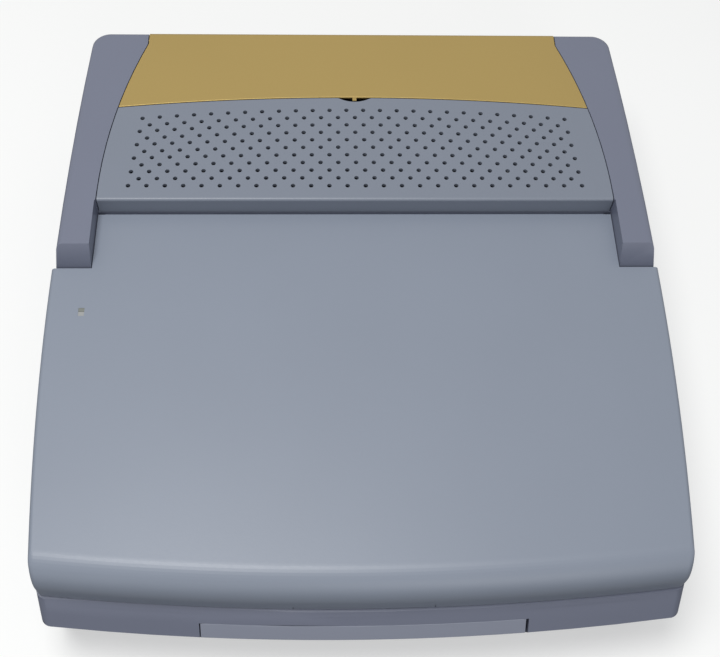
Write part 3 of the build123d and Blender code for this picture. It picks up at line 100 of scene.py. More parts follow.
class WordProcessorSizes(bpy.types.PropertyGroup):
    """Sizes of the skins and covers"""

    half_width: FloatProperty(
        name="Half width", description="Half the width of the case at its widest", default=case_high.x,
        unit="LENGTH",
    )
    widest_y: length("Widest place", "How far behind the middle the case is widest", 10.0)
    lid_side_radius: length("Lid side radius", "Bow of the lid's long sides", 1670.0)
    lid_front_y: length("Lid front", "Place of the middle of the lid's front edge", -172.0)
    lid_front_radius: length("Lid front radius", "Bow of the lid's front edge", 1444.0)
    lid_corner: length("Lid corner", "Radius of the lid's front corners seen from above", 3.5)
    lid_roll: length("Lid roll", "Radius of the rolled front edge of the lid", 16.0)
    lid_edge: length("Lid edge", "Rounding of the lid's side edges", 2.5)
    lid_rear_y: length("Lid rear", "Rear edge of the lid's wide part", 15.4)
    lid_bottom_z: length("Lid bottom", "Lower rim of the closed lid", 62.3)
    lid_top_z: length("Lid top", "Top of the closed lid", 86.0)
    wall: length("Wall", "Thickness of the moulded walls", 2.5)
    base_side_radius: length("Base side radius", "Bow of the case's long sides", 2650.0)
    seen_side_radius: length("Seen side radius", "Bow of the sides ahead of the widest place", 1800.0)
    base_front_y: length("Base front", "Foremost place of the case", -184.0)
    base_front_radius: length("Base front radius", "Bow of the case's front edge", 1566.0)
    base_corner: length("Plain corner", "Radius of the front corners on the plain solids", 16.0)
    seen_corner: length("Seen corner", "Radius of the front corners of the case skins", 5.5)
    seam_z: length("Seam", "Rim of the case under the lid", 62.0)
    front_roll: length("Front roll", "Radius of the case's front edge on the plain solids", 11.0)
    rim_back: length("Front slope's run", "How far the front leans back up to the seam", 10.6)
    chamfer_top: length("Bottom chamfer", "Top of the chamfer round the bottom", 5.5)
    handle_half: length("Handle room", "Half the width of the handle's recess and frame", 87.0)
    handle_behind_y: length("Behind the handle", "Rear limit of the handle's recess", -170.0)
    handle_top_z: length("Handle top", "Top of the handle on the plain solids", 60.3)
    handle_seen_z: length("Handle's seen top", "Top of the handle on the front slope", 54.9)
    trough_half: length("Trough", "Half the room between the cheeks on the plain solids", 151.0)
    trough_seen: length("Seen trough", "Half the room between the cheeks beside the lid", 149.4)
    tongue_half: length("Tongue half width", "Half width of the lid between the cheeks", 149.0)
    tongue_under_z: length("Tongue underside", "Underside of the lid's rear part", 68.4)
    tongue_radius: length("Tongue end radius", "Rear edge of the lid, an arc about its hinge", 16.0)
    hinge_y: length("Hinge place", "Place of the lid's hinge", 37.0)
    hinge_z: length("Hinge height", "Height of the lid's hinge", 81.0)
    latch_half: length("Latch half width", "Half width of the latch bar", 35.3)
    latch_top_z: length("Latch top", "Upper edge of the latch bar", 66.0)
    seam_gap: length("Running gap", "Gap between pieces that move past each other", 0.3)
    window_x: length("Window place across", "Middle of the indicator window", -152.0)
    window_y: length("Window place along", "Middle of the indicator window", -13.0)
    window_width: length("Window width", "Width of the indicator window", 3.3)
    window_length: length("Window length", "Length of the indicator window", 5.1)
    window_split: length("Window split", "How far behind its middle the window's halves meet", 0.3)
    window_line: length("Window line", "Half width of the dark line between the halves", 0.18)
    cover_top_z: length("Cover top", "Top of the two covers", 98.0)
    cover_thickness: length("Cover thickness", "Thickness of the two covers", 2.2)
    cover_gap: length("Cover side gap", "Gap between the covers and the cheeks", 0.6)
    bay_front_y: length("Printer front", "Front face of the printer housing", 54.0)
    bay_half: length("Printer half width", "Half the room between the cheeks at its front", 148.8)
    bay_radius: length("Cheek radius", "Arc of the cheeks' inner sides", 355.0)
    bay_straight_y: length("Cheek end", "Behind this the cheeks run straight back", 174.0)
    cover_roll: length("Cover roll", "Rounding of the perforated cover's front edge", 1.6)
    cover_lip_z: length("Cover lip", "Lower edge of the perforated cover's front face", 86.3)
    paper_front_y: length("Paper cover front", "Middle of the paper cover's bowed front edge", 131.0)
    paper_front_radius: length("Paper cover bow", "Radius of that edge", 1253.0)
    covers_split: length("Covers' seam", "Gap between the two covers", 0.7)
    rear_y: length("Rear", "Rear face of the case", 184.0)
    paper_roll: length("Paper cover roll", "Rounding of the paper cover's rear edge", 2.4)
    paper_lip_z: length("Paper cover lip", "Lower edge of the paper cover's rear lip", 86.4)
    hole_radius: length("Hole radius", "Radius of one perforation", 1.35)
    hole_pitch: length("Hole pitch", "Distance between holes in the rear row", 10.13)
    hole_growth: length("Pitch growth", "How much wider the pitch gets from row to row", 0.036)
    hole_row_pitch: length("Row pitch", "Distance between the rows", 5.67)
    hole_first_y: length("First row", "Middle of the rear row of holes", 120.7)
    hole_bow: length("Row bow", "How far the rear row's ends lie in front of its middle", 6.7)
    notch_half: length("Notch half width", "Half width of the finger notch", 12.0)
    notch_depth: length("Notch depth", "Depth of the finger notch", 3.6)
    tab_half: length("Tab half width", "Half width of the lifting tab", 1.2)
    tab_ahead: length("Tab reach", "How far the lifting tab lies ahead of the cover's edge", 2.3)
    tab_behind: length("Tab root", "How far the lifting tab goes under the cover", 0.5)
    tab_drop: length("Tab drop", "How far the lifting tab lies below the cover's top", 0.4)
    printer_hinge_y: length("Perforated cover's hinge", "Place of the perforated cover's pins", 110.0)
    paper_hinge_y: length("Paper cover's hinge", "Place of the paper cover's pins", 178.0)
    cover_hinge_z: length("Cover hinge height", "Height of the pins of both covers", 96.2)
    boss_half: length("Boss half length", "Half the length of a hinge boss", 3.4)
    boss_width: length("Boss width", "Width of a hinge boss", 4.0)
    boss_drop: length("Boss drop", "How far a hinge boss reaches below its pin", 2.4)
    pin_radius: length("Pin radius", "Radius of a hinge pin", 1.2)
    pin_reach: length("Pin reach", "How far a hinge pin goes into the cheek", 2.7)
    pin_root: length("Pin root", "How far a hinge pin starts inside its boss", 1.0)
    edge_soft: length("Soft edge", "Rounding of the small moulded edges", 0.4)
    handle_soft: length("Handle's soft edge", "Rounding of the handle's edges", 1.2)
    latch_soft: length("Latch's soft edge", "Rounding of the latch bar's edges", 0.24)
    front_tuck: FloatProperty(
        name="Front tuck", description="Lean of the front under its foremost line", default=math.radians(16),
        subtype="ANGLE",
    )
    hole_rows: IntProperty(name="Hole rows", description="Rows of perforations", default=11)
    row_holes: IntProperty(name="Holes in a row", description="Holes in a long row", default=26)
    hole_sides: IntProperty(name="Hole corners", description="Corners of each drawn hole", default=16)


class WordProcessorColours(bpy.types.PropertyGroup):
    """Colours of the finishes"""

    case: shade("Lid", "Moulded lid and latch", 129, 137, 151)
    # painted shade: the lid's own plastic painted darker, for the dimmer light on the cheeks and the front
    # below the lid
    shell_with_painted_shade: shade("Case", "Upper and lower case", 109, 114, 131)
    # painted shade: the lid's own plastic painted darker, for the dimmer light towards the rear
    panel: shade("Perforated cover", "Cover over the printer", 119, 126, 139)
    bronze: shade("Bronze", "Satin metallic paint of the paper cover", 164, 141, 84)
    handle: shade("Handle", "Handle", 134, 139, 154)
    hinge: shade("Hinge steel", "Dark plated hinge arms and pins", 60, 62, 66)
    inner: shade("Inner case", "Bezel and keyboard plate", 118, 124, 137)
    key_light: shade("Letter keys", "Keys with letters", 196, 198, 200)
    key_dark: shade("Control keys", "Keys round the letters", 104, 110, 124)
    steel: shade("Steel", "Plated sheet and shafts", 176, 178, 182)
    rubber: shade("Rubber", "Platen, rollers and feet", 34, 34, 36)
    gear: shade("Gears", "Plain nylon gears", 226, 224, 214)
    glass: shade("Screen", "Unlit liquid crystal screen", 88, 100, 92)
    # painted glow: the window's front half is given this bright colour as if a lamp behind it were lit
    window: shade("Indicator window", "Clear window in the lid", 152, 154, 154)
    window_dim: shade("Indicator window, rear half", "The unlit half of the window", 118, 122, 116)
    board: shade("Circuit boards", "Lacquered boards", 46, 92, 62)
    motor: shade("Motors", "Zinc plated motor cans", 150, 152, 156)
    black: shade("Black plastic", "Drive, inlet and buzzer", 40, 41, 44)
    floor: shade("Floor", "Pale studio floor as seen, under its own glow", 190, 191, 190)
    floor_bounce: shade("Floor bounce", "How pale the floor is for the light it throws back", 138, 139, 142)


# ---------------------------------------------------------------- shader tools
class Wire:
    """A value in a shader: sums and products of wires add Math nodes to its tree."""

    def __init__(self, paint, socket):
        self.paint = paint
        self.socket = socket

    def _maths(self, operation, first, second):
        node = self.paint.add("ShaderNodeMath", {"operation": operation}, {0: first, 1: second})
        return Wire(self.paint, node.outputs[0])

    def __add__(self, other):
        return self._maths("ADD", self, other)

    def __radd__(self, other):
        return self._maths("ADD", other, self)

    def __sub__(self, other):
        return self._maths("SUBTRACT", self, other)

    def __rsub__(self, other):
        return self._maths("SUBTRACT", other, self)

    def __mul__(self, other):
        return self._maths("MULTIPLY", self, other)

    def __rmul__(self, other):
        return self._maths("MULTIPLY", other, self)

    def __truediv__(self, other):
        return self._maths("DIVIDE", self, other)

    def __gt__(self, other):
        return self._maths("GREATER_THAN", self, other)


class Paint:
    """One finish: a material with its node tree, and short ways to add nodes to it."""

    def __init__(self, name, tree=None):
        if tree is None:
            self.material = bpy.data.materials.new(name)
            self.material.use_nodes = True
            tree = self.material.node_tree
        self.tree = tree
        self.tree.nodes.clear()

    def add(self, kind, settings=None, values=None):
        """Any node: its settings first, a ramp's stops among them, then values or links of its sockets."""
        node = self.tree.nodes.new(kind)
        for key, value in (settings or {}).items():
            if key == "stops":
                ramp = node.color_ramp
                ramp.elements[0].position, ramp.elements[0].color = value[0]
                ramp.elements[1].position, ramp.elements[1].color = value[-1]
                for place, colour in value[1:-1]:
                    ramp.elements.new(place).color = colour
            else:
                setattr(node, key, value)
        for key, value in (values or {}).items():
            socket = node.inputs[key]
            if isinstance(value, Wire):
                self.tree.links.new(value.socket, socket)
            elif socket.type == "RGBA" and len(value) == 3:
                socket.default_value = (*value, 1.0)
            else:
                socket.default_value = value
        return node

    def wire(self, node, output=0):
        return Wire(self, node.outputs[output])

    def place(self):
        """Place on the piece, in metres."""
        return self.wire(self.add("ShaderNodeTexCoord"), "Object")

    def noise(self, scale, detail=2.0, at=None):
        """Smooth noise of 0 to 1 with so many lumps to the metre."""
        node = self.add(
            "ShaderNodeTexNoise", None, {"Vector": at or self.place(), "Scale": scale, "Detail": detail}
        )
        return self.wire(node, "Fac")

    def blend(self, amount, first, second):
        """A colour between two, by an amount of 0 to 1."""
        node = self.add("ShaderNodeMix", {"data_type": "RGBA"}, {"Factor": amount, 6: first, 7: second})
        return self.wire(node, 2)

    def bump(self, height, depth, strength=1.0):
        """Tiny relief from a height of 0 to 1, so many metres deep."""
        node = self.add(
            "ShaderNodeBump", None, {"Height": height, "Distance": depth, "Strength": strength}
        )
        return self.wire(node)

    def surface(self, values):
        """The finish itself, joined to the material's output."""
        shader = self.add("ShaderNodeBsdfPrincipled", None, values)
        self.add("ShaderNodeOutputMaterial", None, {"Surface": self.wire(shader)})
        return self.material


def scaled(colour, factor):
    """A colour made lighter or darker by a factor."""
    return tuple(min(1.0, channel * factor) for channel in colour)


def moulded(name, colour, roughness=0.4, grain=900.0, relief=0.00002, spread=0.03, gloss=0.5):
    """Moulded plastic: a fine eroded grain, and a colour that drifts a little over the piece."""
    paint = Paint(name)
    drift = paint.noise(14.0, 2.0)
    fine = paint.noise(grain, 3.0)
    colour_here = paint.blend(drift, scaled(colour, 1 - spread), scaled(colour, 1 + spread))
    return paint.surface({
        "Base Color": colour_here,
        "Roughness": roughness - 0.05 + fine * 0.1,
        "Specular IOR Level": gloss,
        "Normal": paint.bump(fine, relief),
    })


def satin_metal(name, colour, roughness=0.42, metallic=0.5, grain=1500.0):
    """Satin metallic paint: fine flakes that vary the tone and the sheen."""
    paint = Paint(name)
    flakes = paint.noise(grain, 2.0)
    drift = paint.noise(9.0, 2.0)
    amount = flakes * 0.6 + drift * 0.4
    return paint.surface({
        "Base Color": paint.blend(amount, scaled(colour, 0.9), scaled(colour, 1.1)),
        "Metallic": metallic,
        "Roughness": roughness - 0.04 + flakes * 0.08,
        "Normal": paint.bump(flakes, 0.000008),
    })


def plated(name, colour, roughness=0.3):
    """Plated sheet steel with a faint cloudiness."""
    paint = Paint(name)
    cloud = paint.noise(60.0, 3.0)
    return paint.surface({
        "Base Color": colour,
        "Metallic": 0.9,
        "Roughness": roughness - 0.06 + cloud * 0.16,
    })


def lacquered_board(name, colour):
    """Circuit board: green lacquer over a faint pattern of straight tracks."""
    paint = Paint(name)
    tracks = paint.add(
        "ShaderNodeTexBrick",
        None,
        {"Vector": paint.place(), "Scale": 60.0, "Mortar Size": 0.03, "Color1": (0, 0, 0),
         "Color2": (0, 0, 0), "Mortar": (1, 1, 1)},
    )
    return paint.surface({
        "Base Color": paint.blend(paint.wire(tracks, "Fac"), colour, scaled(colour, 1.5)),
        "Roughness": 0.35,
        "Coat Weight": 0.3,
    })


def indicator_pane(name, bright, dim, middle_y, half_gap):
    """Clear window in two halves: the rear one dim, the front one painted bright as if a lamp behind it were
    lit, a dark line between them.
    """
    paint = Paint(name)
    split = paint.add("ShaderNodeSeparateXYZ", None, {0: paint.place()})
    y = paint.wire(split, "Y")
    # painted glow: the front half takes the bright colour, the rear half the dim one
    halves = paint.blend(y > middle_y, bright, dim)
    line = (y > middle_y - half_gap) * (1 - (y > middle_y + half_gap))
    return paint.surface({
        "Base Color": paint.blend(line, halves, scaled(dim, 0.55)),
        "Roughness": 0.2,
        "Coat Weight": 0.4,
    })


# the finishes by name, mixed by the first operator
finishes = {}


# ---------------------------------------------------------------- mesh tools
def grid_faces(numbers, closed=False):
    """Quads between neighbouring places of a grid of vertex numbers, row by row."""
    here = numbers if closed else numbers[:, :-1]
    after = np.roll(numbers, -1, axis=1) if closed else numbers[:, 1:]
    return np.stack([here[:-1], after[:-1], after[1:], here[1:]], axis=-1).reshape(-1, 4)


def join_parts(*parts):
    """Several (points, faces) pairs as one, with the later faces' numbers moved up."""
    points, faces, start = [], [], 0
    for part_points, part_faces in parts:
        points.append(np.asarray(part_points, float).reshape(-1, 3))
        faces.extend([[int(n) + start for n in face] for face in part_faces])
        start += len(points[-1])
    return np.concatenate(points), faces


def box_part(x0, x1, y0, y1, z0, z1):
    """A closed box: the eight corners and six faces."""
    corners = np.array([(x, y, z) for z in (z0, z1) for y in (y0, y1) for x in (x0, x1)])
    faces = [(0, 2, 3, 1), (4, 5, 7, 6), (0, 1, 5, 4), (1, 3, 7, 5), (3, 2, 6, 7), (2, 0, 4, 6)]
    return corners, faces


def rod_part(x0, x1, y, z, radius, sides=24):
    """A closed round rod along X: two circles joined by quads, with a flat face at each end."""
    turn = np.arange(sides) * 2 * math.pi / sides
    ring = np.stack([np.zeros(sides), y + radius * np.cos(turn), z + radius * np.sin(turn)], axis=-1)
    points = np.concatenate([ring + (x0, 0, 0), ring + (x1, 0, 0)])
    numbers = np.arange(2 * sides).reshape(2, sides)
    faces = grid_faces(numbers[::-1], True).tolist() + [numbers[0][::-1].tolist(), numbers[1].tolist()]
    return points, faces


def new_piece(name, points, faces):
    """An object at the origin with these points and faces."""
    mesh = bpy.data.meshes.new(name)
    mesh.from_pydata(np.asarray(points, float).tolist(), [], [list(map(int, face)) for face in faces])
    mesh.validate()
    piece = bpy.data.objects.new(name, mesh)
    bpy.context.scene.collection.objects.link(piece)
    return piece


def even_normals(mesh, limit=40.0):
    """Smooth shading that keeps flats flat: each corner averages, by area, the faces within the limit."""
    count = len(mesh.loops)
    vertex = np.zeros(count, np.int32)
    mesh.loops.foreach_get("vertex_index", vertex)
    sizes = np.zeros(len(mesh.polygons), np.int32)
    mesh.polygons.foreach_get("loop_total", sizes)
    area = np.zeros(len(mesh.polygons))
    mesh.polygons.foreach_get("area", area)
    normal = np.zeros(len(mesh.polygons) * 3)
    mesh.polygons.foreach_get("normal", normal)
    normal = normal.reshape(-1, 3)
    face = np.repeat(np.arange(len(sizes)), sizes)
    order = np.argsort(vertex, kind="stable")
    meets = np.bincount(vertex, minlength=len(mesh.vertices))
    start = np.concatenate([[0], np.cumsum(meets)[:-1]])
    around = meets[vertex]
    first = np.repeat(np.arange(count), around)
    step = np.arange(len(first)) - np.repeat(np.cumsum(around) - around, around)
    second = order[start[vertex[first]] + step]
    near = (normal[face[first]] * normal[face[second]]).sum(1) > math.cos(math.radians(limit))
    share = normal[face[second]] * (area[face[second]] * near)[:, None]
    total = np.stack([np.bincount(first, share[:, axis], count) for axis in range(3)], axis=-1)
    total /= np.maximum(np.linalg.norm(total, axis=1), 1e-20)[:, None]
    mesh.polygons.foreach_set("use_smooth", np.ones(len(sizes), bool))
    mesh.normals_split_custom_set(total.tolist())


def finish_piece(piece, finish, body, thickness=0.0, soft=0.0, segments=2, limit=40.0):
    """Gives a piece its wall and soft edges, settles them into its mesh, and sets finish and body."""
    if thickness:
        wall = piece.modifiers.new("wall", "SOLIDIFY")
        wall.thickness = thickness
        wall.offset = -1
        wall.use_even_offset = True
        wall.use_rim = True
    if soft:
        edge = piece.modifiers.new("soft edge", "BEVEL")
        edge.width = soft
        edge.segments = segments
        edge.limit_method = "ANGLE"
        edge.angle_limit = math.radians(limit)
        edge.use_clamp_overlap = True
    bpy.context.view_layer.update()
    shaped = bpy.data.meshes.new_from_object(piece.evaluated_get(bpy.context.evaluated_depsgraph_get()))
    piece.modifiers.clear()
    piece.data = shaped
    even_normals(shaped, limit)
    shaped.materials.clear()
    shaped.materials.append(finishes[finish])
    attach(piece, body)
    return piece


def merged_copy(node, name):
    """A copy of a plain solid with its loose triangles joined and its flats made whole."""
    source = frame["nodes"][node]
    work = bmesh.new()
    work.from_mesh(source.data)
    bmesh.ops.remove_doubles(work, verts=work.verts, dist=0.000005)
    bmesh.ops.dissolve_limit(
        work, angle_limit=math.radians(0.5), verts=work.verts, edges=work.edges,
        use_dissolve_boundaries=False,
    )
    mesh = bpy.data.meshes.new(name)
    work.to_mesh(mesh)
    work.free()
    piece = bpy.data.objects.new(name, mesh)
    bpy.context.scene.collection.objects.link(piece)
    return piece


def softened(node, name, finish, soft=0.0, segments=2, reshape=None, limit=40.0):
    """A copy of a plain solid with soft edges and even shading, standing for it."""
    piece = merged_copy(node, name)
    if reshape:
        places = np.zeros(len(piece.data.vertices) * 3)
        piece.data.vertices.foreach_get("co", places)
        piece.data.vertices.foreach_set("co", reshape(places.reshape(-1, 3)).reshape(-1))
        piece.data.update()
    finish_piece(piece, finish, frame["nodes"][node]["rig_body"], 0.0, soft, segments, limit)
    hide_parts(node)
    return piece


# ---------------------------------------------------------------- shapes
def bowed_in(half, radius, distance):
    """Half width of a shape with arched sides: the arc's height is taken off as its distance grows."""
    return half - radius + np.sqrt(radius**2 - distance**2)


def bay_half(sizes, y):
    """Half the room between the cheeks: an arc from the front, straight behind its end."""
    distance = np.clip(np.minimum(y, sizes.bay_straight_y) - sizes.bay_front_y, 0, None)
    return bowed_in(sizes.bay_half, sizes.bay_radius, distance)


def paper_edge(sizes, x, gap=0.0):
    """The paper cover's front edge: an arc about a far centre, moved forward by a gap."""
    radius = sizes.paper_front_radius
    return sizes.paper_front_y - radius + np.sqrt((radius - gap) ** 2 - x**2)


def corner_arc(half, widest_y, side_radius, front, front_radius, corner):
    """Centre of a corner tangent to the side arc and the front arc, so one corner radius inside both, and
    the angles at its two ends."""
    side_x, front_y = half - side_radius, front + front_radius
    reach_side, reach_front = side_radius - corner, front_radius - corner
    across, along = -side_x, front_y - widest_y
    apart = np.hypot(across, along)
    foot = (reach_side**2 - reach_front**2 + apart**2) / (2 * apart)
    off = np.sqrt(reach_side**2 - foot**2)
    centre_x = side_x + (foot * across + off * along) / apart
    centre_y = widest_y + (foot * along - off * across) / apart
    start = np.arctan2(centre_y - front_y, centre_x)
    end = np.arctan2(centre_y - widest_y, centre_x - side_x)
    return centre_x, centre_y, start, end


def front_arc(half, widest_y, side_radius, front, nominal):
    """Radius of the front arc, which bows as its nominal radius would over the full width but ends where
    it meets the bowed sides."""
    bow = nominal - np.sqrt(nominal**2 - half**2)
    end_x = bowed_in(half, side_radius, front + bow - widest_y)
    return (end_x**2 + bow**2) / (2 * bow)


def plain_set_back(sizes, z):
    """How far the plain solids' front lies behind its foremost line: a roll, and under it a slope that
    runs back. Also the height at which the one turns into the other."""
    middle = sizes.seam_z - sizes.front_roll
    foot = middle - sizes.front_roll * math.sin(sizes.front_tuck)
    roll = sizes.front_roll - np.sqrt(np.clip(sizes.front_roll**2 - (z - middle) ** 2, 0, None))
    under = sizes.front_roll * (1 - math.cos(sizes.front_tuck)) + (foot - z) * math.tan(sizes.front_tuck)
    return np.where(z >= foot, roll, under), foot


def seen_front(sizes, places):
    """Moves the front skin of a copied case piece to its seen form. From the roll's foot to the seam it
    becomes one slope, on which a point keeps its share of the height, and the handle's top comes lower.
    Each front corner turns on a smaller radius, where a point keeps its share of the turn, and the sides
    ahead of the widest place bow more."""
    x, y, z = places.T
    near, spare = 0.6 * MM, 0.02
    back, foot = plain_set_back(sizes, z)
    inset = np.clip(sizes.chamfer_top - z, 0, None)
    half = sizes.half_width - inset
    reach = (half, sizes.widest_y, sizes.base_side_radius)
    seen_reach = (half, sizes.widest_y, sizes.seen_side_radius)
    nominal = sizes.base_front_radius - inset
    plain_y = sizes.base_front_y + back + inset
    radius = front_arc(*reach, plain_y, nominal)
    bow = radius - np.sqrt(radius**2 - x**2)
    gap = sizes.seam_gap
    stops = [foot, sizes.handle_top_z, sizes.handle_top_z + gap, sizes.seam_z]
    seen_stops = [foot, sizes.handle_seen_z, sizes.handle_seen_z + gap / 2, sizes.seam_z]
    seen_z = np.where(z > foot, np.interp(z, stops, seen_stops), z)
    foot_back = float(plain_set_back(sizes, np.array(foot))[0])
    slope = foot_back + (sizes.rim_back - foot_back) * (seen_z - foot) / (sizes.seam_z - foot)
    seen_y = sizes.base_front_y + np.where(z > foot, slope, back) + inset

    seen_radius = front_arc(*seen_reach, seen_y, nominal)
    seen_bow = seen_radius - np.sqrt(seen_radius**2 - x**2)
    corner, seen_corner = sizes.base_corner - inset, sizes.seen_corner - inset / 2
    middle_x, middle_y, start, end = corner_arc(*reach, plain_y, radius, corner)
    share = (np.arctan2(y - middle_y, abs(x) - middle_x) - start) / (end - start)
    off_corner = np.hypot(abs(x) - middle_x, y - middle_y) - corner
    turning = (abs(off_corner) < near) & (share > -spare) & (share < 1 + spare)
    ahead = (abs(y - plain_y - bow) < near) & (abs(x) < middle_x + near) & ~turning
    under_seam = z < sizes.seam_z + near
    new_x, new_y, start, end = corner_arc(*seen_reach, seen_y, seen_radius, seen_corner)
    turn = start + share * (end - start)
    from_widest = np.minimum(y - sizes.widest_y, 0)
    off_side = abs(x) - bowed_in(half, sizes.base_side_radius, from_widest)
    beside = (abs(off_side) < near / 4) & (from_widest < 0)
    side_x = np.where(beside & under_seam, bowed_in(half, sizes.seen_side_radius, from_widest), abs(x))
    corner_x = new_x + seen_corner * np.cos(turn)
    corner_y = new_y + seen_corner * np.sin(turn)
    front_y = np.where(ahead & under_seam, seen_y + seen_bow, y)
    moved = places.copy()
    moved[:, 0] = np.sign(x) * np.where(turning & under_seam, corner_x, side_x)
    moved[:, 1] = np.where(turning & under_seam, corner_y, front_y)
    by_handle = (abs(x) < sizes.handle_half) & (y < sizes.handle_behind_y)
    moved[:, 2] = np.where((turning | ahead | by_handle) & under_seam, seen_z, z)
    return moved


def seen_case(sizes, places):
    """The upper case: its seen front, and the cheeks' inner sides drawn close to the lid."""
    moved = seen_front(sizes, places)
    x, y = places[:, 0], places[:, 1]
    near = 0.05 * MM
    inner = (abs(abs(x) - sizes.trough_half) < near) & (y > sizes.lid_rear_y - MM)
    inner &= y < sizes.bay_front_y + MM / 2
    moved[:, 0] = np.where(inner, np.sign(x) * sizes.trough_seen, moved[:, 0])
    return moved


def lid_outlines(sizes, levels):
    """The lid seen from above at each level, one ring per row: a bowed front, corners that are arcs tangent
    to the front arc and the side arc, and bowed sides. The front draws back by the roll's quarter circle
    and the sides by their own smaller one."""
    def drawn_in(radius):
        rise = np.clip(levels - sizes.lid_top_z + radius, 0, None)
        return (radius - np.sqrt(np.clip(radius**2 - rise**2, 0, None)))[:, None]

    side = drawn_in(sizes.lid_edge)
    front = sizes.lid_front_y + drawn_in(sizes.lid_roll)
    half = sizes.half_width - side
    front_radius = sizes.lid_front_radius - side
    corner = np.maximum(sizes.lid_corner - side, MM)
    side_radius = sizes.lid_side_radius
    side_x, side_y = half - side_radius, sizes.widest_y
    front_y = front + front_radius
    centre_x, centre_y, start, end = corner_arc(half, side_y, side_radius, front, front_radius, corner)
    notch = sizes.latch_half + sizes.seam_gap
    end_x = front_radius * np.cos(start)
    front_x = np.concatenate([
        notch * np.linspace(0, 1, 6)[None] + 0 * end_x,
        notch + (end_x - notch) * np.linspace(0, 1, 17)[None, 1:],
    ], axis=1)
    front_line = np.stack([front_x, front_y - np.sqrt(front_radius**2 - front_x**2)], axis=-1)
    turn = start + (end - start) * np.linspace(0, 1, 13)[None, 1:]
    corner_line = np.stack([centre_x + corner * np.cos(turn), centre_y + corner * np.sin(turn)], axis=-1)
    first_y = side_y + side_radius * np.sin(end)
    low = sizes.window_y - sizes.window_length / 2
    high = sizes.window_y + sizes.window_length / 2
    side_line_y = np.concatenate([
        first_y + (low - first_y) * np.linspace(0, 1, 13)[None, 1:],
        np.array([[high, (high + sizes.lid_rear_y) / 2, sizes.lid_rear_y]]) + 0 * first_y,
    ], axis=1)
    side_line = np.stack(
        [side_x + np.sqrt(side_radius**2 - (side_line_y - side_y) ** 2), side_line_y], axis=-1
    )
    ear = np.stack([sizes.tongue_half + 0 * end_x, sizes.lid_rear_y + 0 * end_x], axis=-1)
    right = np.concatenate([front_line, corner_line, side_line, ear], axis=1)
    left = right[:, :0:-1] * (-1, 1)
    return np.concatenate([right, left], axis=1), right.shape[1]


def lid_surface(sizes):
    """Skin of the lid: the outlines stacked level by level, a flat top with the window's opening, and the
    rear part whose end is an arc about the hinge. The front leaves room for the latch."""
    turns = np.sin(np.linspace(0, math.pi / 2, 17))
    edge_turns = np.sin(np.linspace(0, math.pi / 2, 7))
    notch_top = sizes.latch_top_z + sizes.seam_gap
    levels = np.unique(np.round(np.concatenate([
        [sizes.lid_bottom_z, notch_top, sizes.tongue_under_z],
        sizes.lid_top_z - sizes.lid_roll * (1 - turns),
        sizes.lid_top_z - sizes.lid_edge * (1 - edge_turns),
    ]), 7))
    rings, half_count = lid_outlines(sizes, levels)
    rows, columns = rings.shape[:2]
    points = np.concatenate([rings, np.broadcast_to(levels[:, None, None], (rows, columns, 1))], axis=-1)
    numbers = np.arange(rows * columns).reshape(rows, columns)
    here = np.broadcast_to(np.arange(columns)[None], (rows - 1, columns))
    foot = np.broadcast_to(levels[:-1, None], (rows - 1, columns))
    # the walls between the first six points of half the front line stop at the latch
    notch_count = 5
    in_front = (here < notch_count) | (here >= columns - notch_count)
    keep = ~(in_front & (foot < notch_top - 1e-6))
    keep &= ~((here == half_count - 1) & (foot > sizes.tongue_under_z - 1e-6))
    walls = grid_faces(numbers, True)[keep.reshape(-1)]

    window_x = sizes.window_x + np.array([-1, 1]) * sizes.window_width / 2
    low = sizes.window_y - sizes.window_length / 2
    high = sizes.window_y + sizes.window_length / 2
    top = sizes.lid_top_z
    pane = np.array([(x, y, top) for y in (low, high) for x in window_x])
    last = numbers[-1]
    ear_right, ear_left = half_count - 1, half_count
    right_high, right_low = half_count - 4, half_count - 5
    left_high, left_low = columns - right_high, columns - right_low
    start = rows * columns
    low_left, low_right, high_left, high_right = range(start, start + 4)

    under = float(levels[np.argmin(abs(levels - sizes.tongue_under_z))])
    angle_low = math.asin((under - sizes.hinge_z) / sizes.tongue_radius)
    angle_high = math.asin((top - sizes.hinge_z) / sizes.tongue_radius)
    end_steps = 13
    turn = np.linspace(angle_low, angle_high, end_steps)
    end_y = sizes.hinge_y + sizes.tongue_radius * np.cos(turn)
    end_z = sizes.hinge_z + sizes.tongue_radius * np.sin(turn)
    right_end = np.stack([np.full(end_steps, sizes.tongue_half), end_y, end_z], axis=-1)
    left_end = right_end * (-1, 1, 1)
    right_numbers = start + len(pane) + np.arange(end_steps)
    left_numbers = right_numbers + end_steps
    tongue = grid_faces(np.stack([left_numbers, right_numbers], axis=1)).tolist()
    foot_row = int(np.argmin(abs(levels - under)))
    tongue.append(
        [numbers[foot_row, ear_right], right_numbers[0], left_numbers[0], numbers[foot_row, ear_left]]
    )
    ears = [
        list(right_numbers) + list(numbers[foot_row:, ear_right][::-1]),
        (list(left_numbers) + list(numbers[foot_row:, ear_left][::-1]))[::-1],
    ]
    front_cap = list(last[left_low:]) + list(last[:right_low + 1]) + [low_right, low_left]
    band = [
        [last[left_low], low_left, high_left, last[left_high]],
        [low_right, last[right_low], last[right_high], high_right],
    ]
    rear_cap = (
        [last[left_high], high_left, high_right]
        + list(last[right_high:ear_right + 1])
        + [right_numbers[-1], left_numbers[-1]]
        + list(last[ear_left:left_high])
    )
    faces = walls.tolist() + tongue + ears + [front_cap] + band + [rear_cap]
    return np.concatenate([points.reshape(-1, 3), pane, right_end, left_end]), faces


